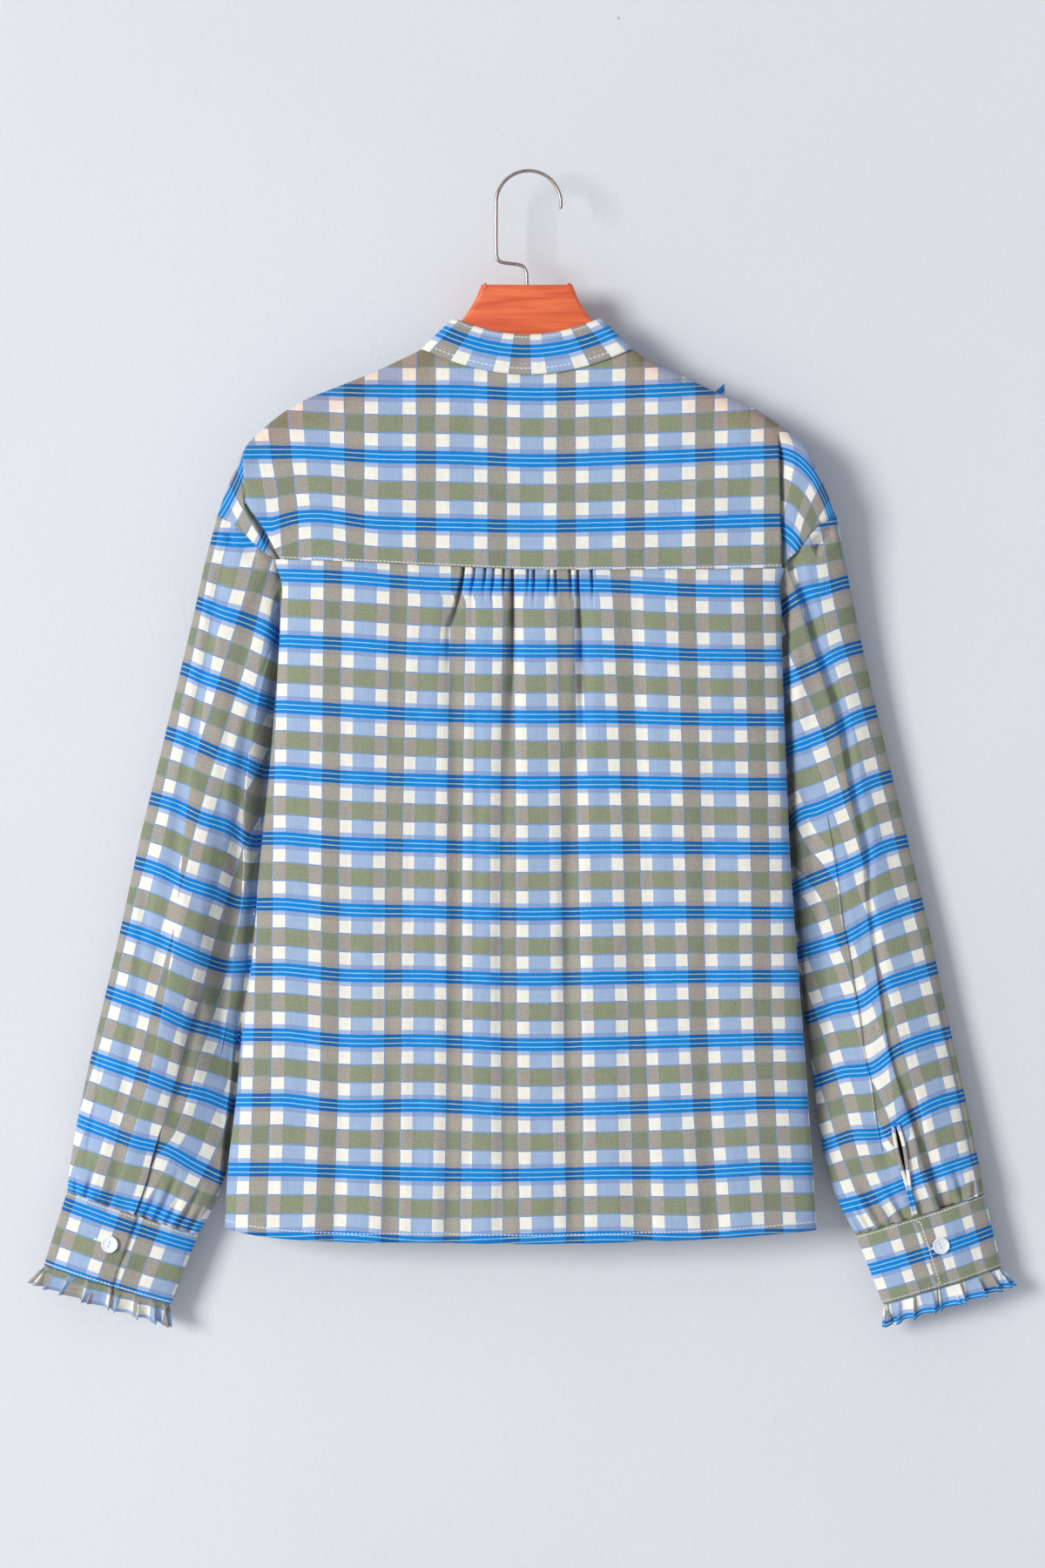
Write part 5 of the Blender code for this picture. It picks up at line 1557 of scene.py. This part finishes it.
def build_front(name, side):
    """Front from the yoke's front seam and the neckline to the hem, in columns from the centre to the side."""
    share = np.linspace(0, 1, 70)[:, None]
    upper, lower = np.linspace(0, 1, 34), np.linspace(0, 1, 70)[1:]
    armhole_edge = YOKE_FRONT_CORNER + (UNDERARM_DROP - YOKE_FRONT_CORNER) * upper
    edge = np.concatenate([armhole_edge, UNDERARM_DROP + (HEM_CORNER[side] - UNDERARM_DROP) * lower])
    outer = abs(side_x(side, edge, ARMHOLE.at(edge, "front")))
    start = np.arcsin(YOKE_FRONT_LENGTH / FRONT_NECK_DIP)
    neck = NECK_DROP + FRONT_NECK_DIP * np.sin(start + (pi / 2 - start) * upper)
    bottom = UNDERARM_DROP + (neck[-1] - UNDERARM_DROP) * (1 - share) ** 2
    beside = neck + (edge[: len(upper)] - neck) * share
    beside[:, :1] = yoke_front_seam(share)
    beside = beside + (yoke_front_seam(share) - neck[0] - (edge[0] - neck[0]) * share) * (1 - upper) ** 2 * (upper > 0)
    beside = beside + (bottom - beside[:, -1:]) * upper**2
    below = bottom + (ACROSS.at(side * outer[-1] * share, "hem") - bottom) * lower
    drop = np.concatenate([beside, below], 1)
    inner = np.maximum(neck_x(drop[0]), 0.4)
    x = side * (inner + (outer - inner) * share)
    grid = on_body(x, drop, 1)
    end = armhole_point(side, edge, "front")
    grid += (end - grid[-1]) * smooth((share - 0.9) / 0.1)[..., None]
    grid[..., 1] += 0.8 * crumple(x, drop * 0.4, 60, 31 + side) * np.sin(pi * share)
    check = np.stack([x / REPEAT_ACROSS + 0.5, (drop - 300) / REPEAT_DOWN], -1)
    stitch = np.stack([x, ACROSS.at(x, "hem") - drop - 6.5], -1)
    cut = add_cloth("shown_" + name, [Patch(grid, check, side < 0, stitch)])


def build_placket():
    """Button band over the fronts' meeting edges, stitched along both sides."""
    drop = np.linspace(NECK_DROP + FRONT_NECK_DIP + 1, 797, 160)
    x = np.linspace(-PLACKET_WIDTH / 2, PLACKET_WIDTH / 2, 13)[:, None]
    grid = on_body(x + 0 * drop, drop + 0 * x, 1)
    grid[..., 1] += 1.6
    check = np.stack([x / REPEAT_ACROSS + 0.5 + 0 * drop, (drop + 0 * x - 300) / REPEAT_DOWN], -1)
    stitch = np.stack([drop + 0 * x, 12.5 - abs(x) + 0 * drop], -1)
    cut = add_cloth("shown_placket", [Patch(grid, check, False, stitch)], 1.0)


def build_front_buttons():
    for number in range(FRONT_BUTTONS):
        drop = FRONT_BUTTON_TOP + number * FRONT_BUTTON_PITCH
        y = float(BODY.at(drop, "front")) + 1.6
        name = f"front_button_{number + 1}"
        add_piece("shown_" + name, button_mesh((0, y, -drop), (0, 1, 0), (0, 0, 1)), shell(), "button", name)


def build_shoulder_frill(name, side):
    """Ruffled strip on a front, sewn on along its inner edge from the shoulder to the bust."""
    share = np.linspace(0, 1, 260)
    out = np.linspace(0, 1, 9)[:, None]
    reach, width = SHOULDER_FRILL.at(share, "reach"), SHOULDER_FRILL.at(share, "width")
    top = shoulder_drop(side * reach[0]) + SHOULDER_FRILL_TOP[side]
    drop = top + (SHOULDER_FRILL_END - top) * share
    grid = on_body(side * (reach + width * out), drop + 0 * out, 1)
    phase = 2 * pi * SHOULDER_FRILL_WAVES * share + 1.1 * np.sin(9 * share)
    wave = np.sin(phase + 0.5 * np.sin(phase))
    grid[..., 1] += 1.8 + out * (5.5 + 2.4 * wave)
    grid[..., 2] += out * SHOULDER_FRILL_RISE[side] * (1 - share) ** 6 + 1.2 * out * np.cos(phase)
    check = np.stack([0.1 + out * width / REPEAT_ACROSS, share * 8 + 0 * out], -1)
    cut = add_cloth("shown_" + name, [Patch(grid, check, side < 0)], 0.7)


# ---------------------------------------------------------------- hanger


def through(places, between):
    """Smooth line through (x, drop) places: cubic arcs with centred slopes, so many points between each two."""
    places = np.asarray(places, float)
    padded = np.concatenate([2 * places[:1] - places[1:2], places, 2 * places[-1:] - places[-2:-1]])
    t = np.linspace(0, 1, between, endpoint=False)[None, :, None]
    a, b, c, d = (padded[i : len(padded) - 3 + i, None] for i in range(4))
    line = 0.5 * (2 * b + (c - a) * t + (2 * a - 5 * b + 4 * c - d) * t**2 + (3 * b - a - 3 * c + d) * t**3)
    return np.concatenate([line.reshape(-1, 2), places[-1:]])


def build_wood():
    """Hanger's wood: its flat front outline, thickened, with rounded edges."""
    half = np.concatenate([through(WOOD_NECK + WOOD_ARM + WOOD_TIP, 5)[:-1], through((WOOD_TIP[-1],) + WOOD_LOWER, 5)])
    other = half[-2:0:-1] * (-1, 1)
    outline = np.concatenate([half, other])
    curve = bpy.data.curves.new("hanger_outline", "CURVE")
    curve.dimensions = "2D"
    curve.fill_mode = "BOTH"
    curve.extrude = (WOOD_THICKNESS / 2 - WOOD_ROUND) * METRE
    curve.bevel_depth = WOOD_ROUND * METRE
    curve.bevel_resolution = 4
    curve.offset = -WOOD_ROUND * METRE
    spline = curve.splines.new("POLY")
    spline.points.add(len(outline) - 1)
    flat = np.stack([outline[:, 0], -outline[:, 1], 0 * outline[:, 0], 0 * outline[:, 0] + 1000], 1) * METRE
    spline.points.foreach_set("co", flat.ravel())
    spline.use_cyclic_u = True
    shape = bpy.data.objects.new("hanger_outline", curve)
    bpy.context.scene.collection.objects.link(shape)
    bpy.context.view_layer.update()
    mesh = bpy.data.meshes.new_from_object(shape.evaluated_get(bpy.context.evaluated_depsgraph_get()))
    bpy.data.objects.remove(shape)
    mesh.transform(Matrix.Rotation(pi / 2, 4, "X"))
    bm = bmesh.new()
    bm.from_mesh(mesh)
    bmesh.ops.remove_doubles(bm, verts=bm.verts, dist=WELD)
    bmesh.ops.recalc_face_normals(bm, faces=bm.faces)
    bm.to_mesh(mesh)
    bm.free()
    mesh.polygons.foreach_set("use_smooth", np.ones(len(mesh.polygons), bool))
    mesh.set_sharp_from_angle(angle=radians(40))
    add_piece("shown_hanger_body", mesh, lacquered_wood(), "hanger_wood", "hanger_body")


def build_hook():
    """Hook: round wire along an open circle and its cranked stem, with a rounded tip."""
    turn = np.linspace(radians(-7), pi + 0.1, 60)
    circle = np.stack([HOOK_CENTRE[0] + HOOK_RADIUS * np.cos(turn), HOOK_CENTRE[1] - HOOK_RADIUS * np.sin(turn)], 1)
    path = np.concatenate([circle, through(HOOK_STEM, 7)])
    heading = np.gradient(path, axis=0)
    heading /= np.linalg.norm(heading, axis=1, keepdims=True)
    cap = np.sin(np.linspace(0, pi / 2, 6))
    size = np.concatenate([cap, np.ones(len(path) - 1), [0]])
    back_off = -np.cos(np.linspace(0, pi / 2, 6)) * WIRE_RADIUS
    centre = np.concatenate([path[:1] + heading[:1] * back_off[:, None], path[1:], path[-1:]])
    way = np.concatenate([np.repeat(heading[:1], 6, 0), heading[1:], heading[-1:]])
    angle = np.linspace(0, 2 * pi, 21)[:, None]
    radius = WIRE_RADIUS * size
    across = radius * np.cos(angle)
    x = centre[:, 0] + way[:, 1] * across
    drop = centre[:, 1] - way[:, 0] * across
    points = np.stack([x, radius * np.sin(angle), -drop], -1)
    wire = join([Patch(points, points[..., :2] / 50, False)])
    add_piece("shown_hanger_hook", wire, plated_wire(), "hook_wire", "hanger_hook")


# ---------------------------------------------------------------- stage


def plaster():
    """Painted plaster: pale blue grey, faintly rough, with a few dark specks; clear from behind."""
    made, tree = new_material("painted_plaster")
    here = add_node(tree, "TexCoord").outputs["Object"]
    patches = add_node(tree, "TexNoise", {"Vector": here, "Scale": 2.2, "Detail": 4.0}).outputs[0]
    tint = add_node(tree, "MapRange", {0: patches, 1: 0.3, 2: 0.7, 3: 0.97, 4: 1.02}).outputs[0]
    tint_colour = add_node(tree, "CombineXYZ", {0: tint, 1: tint, 2: tint}).outputs[0]
    colour = blend(tree, 1.0, linear("#E3E5E9"), tint_colour, "MULTIPLY")
    cells = add_node(tree, "TexVoronoi", {"Vector": here, "Scale": 9.0}).outputs["Distance"]
    speck = sum_of(tree, "LESS_THAN", cells, 0.012)
    colour = blend(tree, sum_of(tree, "MULTIPLY", speck, 0.5), colour, linear("#8E939C"))
    fine = add_node(tree, "TexNoise", {"Vector": here, "Scale": 260.0, "Detail": 5.0, "Roughness": 0.6}).outputs[0]
    relief = add_node(tree, "Bump", {"Strength": 0.25, "Distance": 0.0012, "Height": fine}).outputs[0]
    finish = {"Base Color": colour, "Roughness": 0.9, "Specular IOR Level": 0.2, "Normal": relief}
    shader = add_node(tree, "BsdfPrincipled", finish).outputs[0]
    clear = add_node(tree, "BsdfTransparent").outputs[0]
    behind = add_node(tree, "NewGeometry").outputs["Backfacing"]
    both = add_node(tree, "MixShader", {0: behind, 1: shader, 2: clear}).outputs[0]
    add_node(tree, "OutputMaterial", {"Surface": both})
    return made


def add_plane(name, corners, finish):
    mesh = bpy.data.meshes.new(name)
    mesh.from_pydata(corners, [], [(0, 1, 2, 3)])
    mesh.materials.append(finish)
    thing = bpy.data.objects.new(name, mesh)
    bpy.context.scene.collection.objects.link(thing)
    return thing


def build_stage():
    """Pale wall close behind, pale floor far below, one large soft light from the upper left, and the camera."""
    look = settings()
    finish = plaster()
    wall, floor, reach, front = 0.037, -1.45, 4.0, -5.0
    add_plane("wall", [(-reach, wall, floor), (reach, wall, floor), (reach, wall, 2.5), (-reach, wall, 2.5)], finish)
    corners = [(-reach, front, floor), (reach, front, floor), (reach, wall, floor), (-reach, wall, floor)]
    add_plane("floor", corners, finish)
    world = bpy.data.worlds.new("soft_room")
    bpy.context.scene.world = world
    world.use_nodes = True
    sky = world.node_tree.nodes["Background"]
    sky.inputs["Color"].default_value = linear("#F1F6FF")
    sky.inputs["Strength"].default_value = look.room_light
    lamp = bpy.data.lights.new("window", "AREA")
    lamp.shape = "SQUARE"
    lamp.size = 3.2
    lamp.energy = look.window_light
    lamp.color = (1.0, 0.985, 0.96)
    window = bpy.data.objects.new("window", lamp)
    window.location = (-6.3, -7.0, 0.7)
    aim = Vector((0, 0, -0.45)) - window.location
    window.rotation_euler = aim.to_track_quat("-Z", "Y").to_euler()
    bpy.context.scene.collection.objects.link(window)
    lens = bpy.data.cameras.new("viewer")
    lens.sensor_fit = "VERTICAL"
    lens.sensor_height = 36
    lens.lens = 36 * VIEW_AWAY / 1170
    viewer = bpy.data.objects.new("viewer", lens)
    viewer.location = (VIEW_ACROSS * METRE, -VIEW_AWAY * METRE, -VIEW_DOWN * METRE)
    viewer.rotation_euler = (pi / 2, 0, 0)
    bpy.context.scene.collection.objects.link(viewer)
    bpy.context.scene.camera = viewer
    bpy.context.scene.view_settings.view_transform = "Standard"


# ---------------------------------------------------------------- add-on


class BlouseSettings(bpy.types.PropertyGroup):
    """Sizes and strengths that change the look of the whole blouse."""

    cloth: FloatProperty(
        name="Cloth",
        description="Shown wall of one layer of shirting, in millimetres",
        default=0.8, min=0.3, max=2,
    )
    gathers: FloatProperty(
        name="Gathers",
        description="Depth of the gathers, as a share of their own",
        default=1.0, min=0, max=2, subtype="FACTOR",
    )
    creases: FloatProperty(
        name="Creases",
        description="Depth of the sleeves' creases, as a share of their own",
        default=1.0, min=0, max=2, subtype="FACTOR",
    )
    room_light: FloatProperty(
        name="Room light",
        description="Brightness of the even light from all sides",
        default=0.46, min=0,
    )
    window_light: FloatProperty(
        name="Window light",
        description="Power of the large light from the upper left, in watts",
        default=640.0, min=0, unit="POWER",
    )


def settings():
    return bpy.context.scene.blouse


class BuildHanger(bpy.types.Operator):
    """Wooden hanger and its wire hook"""

    bl_idname = "blouse.hanger"
    bl_label = "Hanger"

    def execute(self, context):
        build_wood()
        build_hook()
        return {"FINISHED"}


class BuildYoke(bpy.types.Operator):
    """Yoke over the hanger's arms, creased at both shoulder ends"""

    bl_idname = "blouse.yoke"
    bl_label = "Yoke"

    def execute(self, context):
        build_yoke()
        return {"FINISHED"}


class BuildBack(bpy.types.Operator):
    """Back panel, gathered under the yoke"""

    bl_idname = "blouse.back"
    bl_label = "Back"

    def execute(self, context):
        build_back()
        return {"FINISHED"}


class BuildCollar(bpy.types.Operator):
    """Band collar"""

    bl_idname = "blouse.collar"
    bl_label = "Collar"

    def execute(self, context):
        build_collar()
        return {"FINISHED"}


class BuildFronts(bpy.types.Operator):
    """Fronts, button band, buttons and ruffled strips, on the side away from the viewer"""

    bl_idname = "blouse.fronts"
    bl_label = "Fronts"

    def execute(self, context):
        for name, side in BOTH_SIDES.items():
            build_front("front_" + name, side)
            build_shoulder_frill("shoulder_frill_" + name, side)
        build_placket()
        build_front_buttons()
        return {"FINISHED"}


class BuildSleeves(bpy.types.Operator):
    """Sleeves and the bound slits above their cuffs"""

    bl_idname = "blouse.sleeves"
    bl_label = "Sleeves"

    def execute(self, context):
        for name, side in BOTH_SIDES.items():
            build_sleeve("sleeve_" + name, side)
            build_binding("slit_binding_" + name, side)
        return {"FINISHED"}


class BuildCuffs(bpy.types.Operator):
    """Cuffs with their buttons and frills"""

    bl_idname = "blouse.cuffs"
    bl_label = "Cuffs"

    def execute(self, context):
        for name, side in BOTH_SIDES.items():
            build_cuff("cuff_" + name, side)
            build_cuff_button("cuff_button_" + name, side)
            build_frill("cuff_frill_" + name, side)
        return {"FINISHED"}


class BuildStage(bpy.types.Operator):
    """Wall, floor, lights and camera"""

    bl_idname = "blouse.stage"
    bl_label = "Stage"

    def execute(self, context):
        build_stage()
        return {"FINISHED"}


OPERATORS = (BuildHanger, BuildYoke, BuildBack, BuildCollar, BuildFronts, BuildSleeves, BuildCuffs, BuildStage)


class BlousePanel(bpy.types.Panel):
    """Settings and build buttons in the sidebar"""

    bl_idname = "VIEW3D_PT_blouse"
    bl_label = "Blouse"
    bl_space_type = "VIEW_3D"
    bl_region_type = "UI"
    bl_category = "Blouse"

    def draw(self, context):
        for name in BlouseSettings.__annotations__:
            self.layout.prop(context.scene.blouse, name)
        for operator in OPERATORS:
            self.layout.operator(operator.bl_idname)


CLASSES = (BlouseSettings, *OPERATORS, BlousePanel)


def register():
    for made in CLASSES:
        bpy.utils.register_class(made)
    bpy.types.Scene.blouse = PointerProperty(type=BlouseSettings)


def unregister():
    del bpy.types.Scene.blouse
    for made in reversed(CLASSES):
        bpy.utils.unregister_class(made)


def main():
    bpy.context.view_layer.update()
    register()
    for operator in OPERATORS:
        group, name = operator.bl_idname.split(".")
        getattr(getattr(bpy.ops, group), name)()


if __name__ == "__main__":
    main()
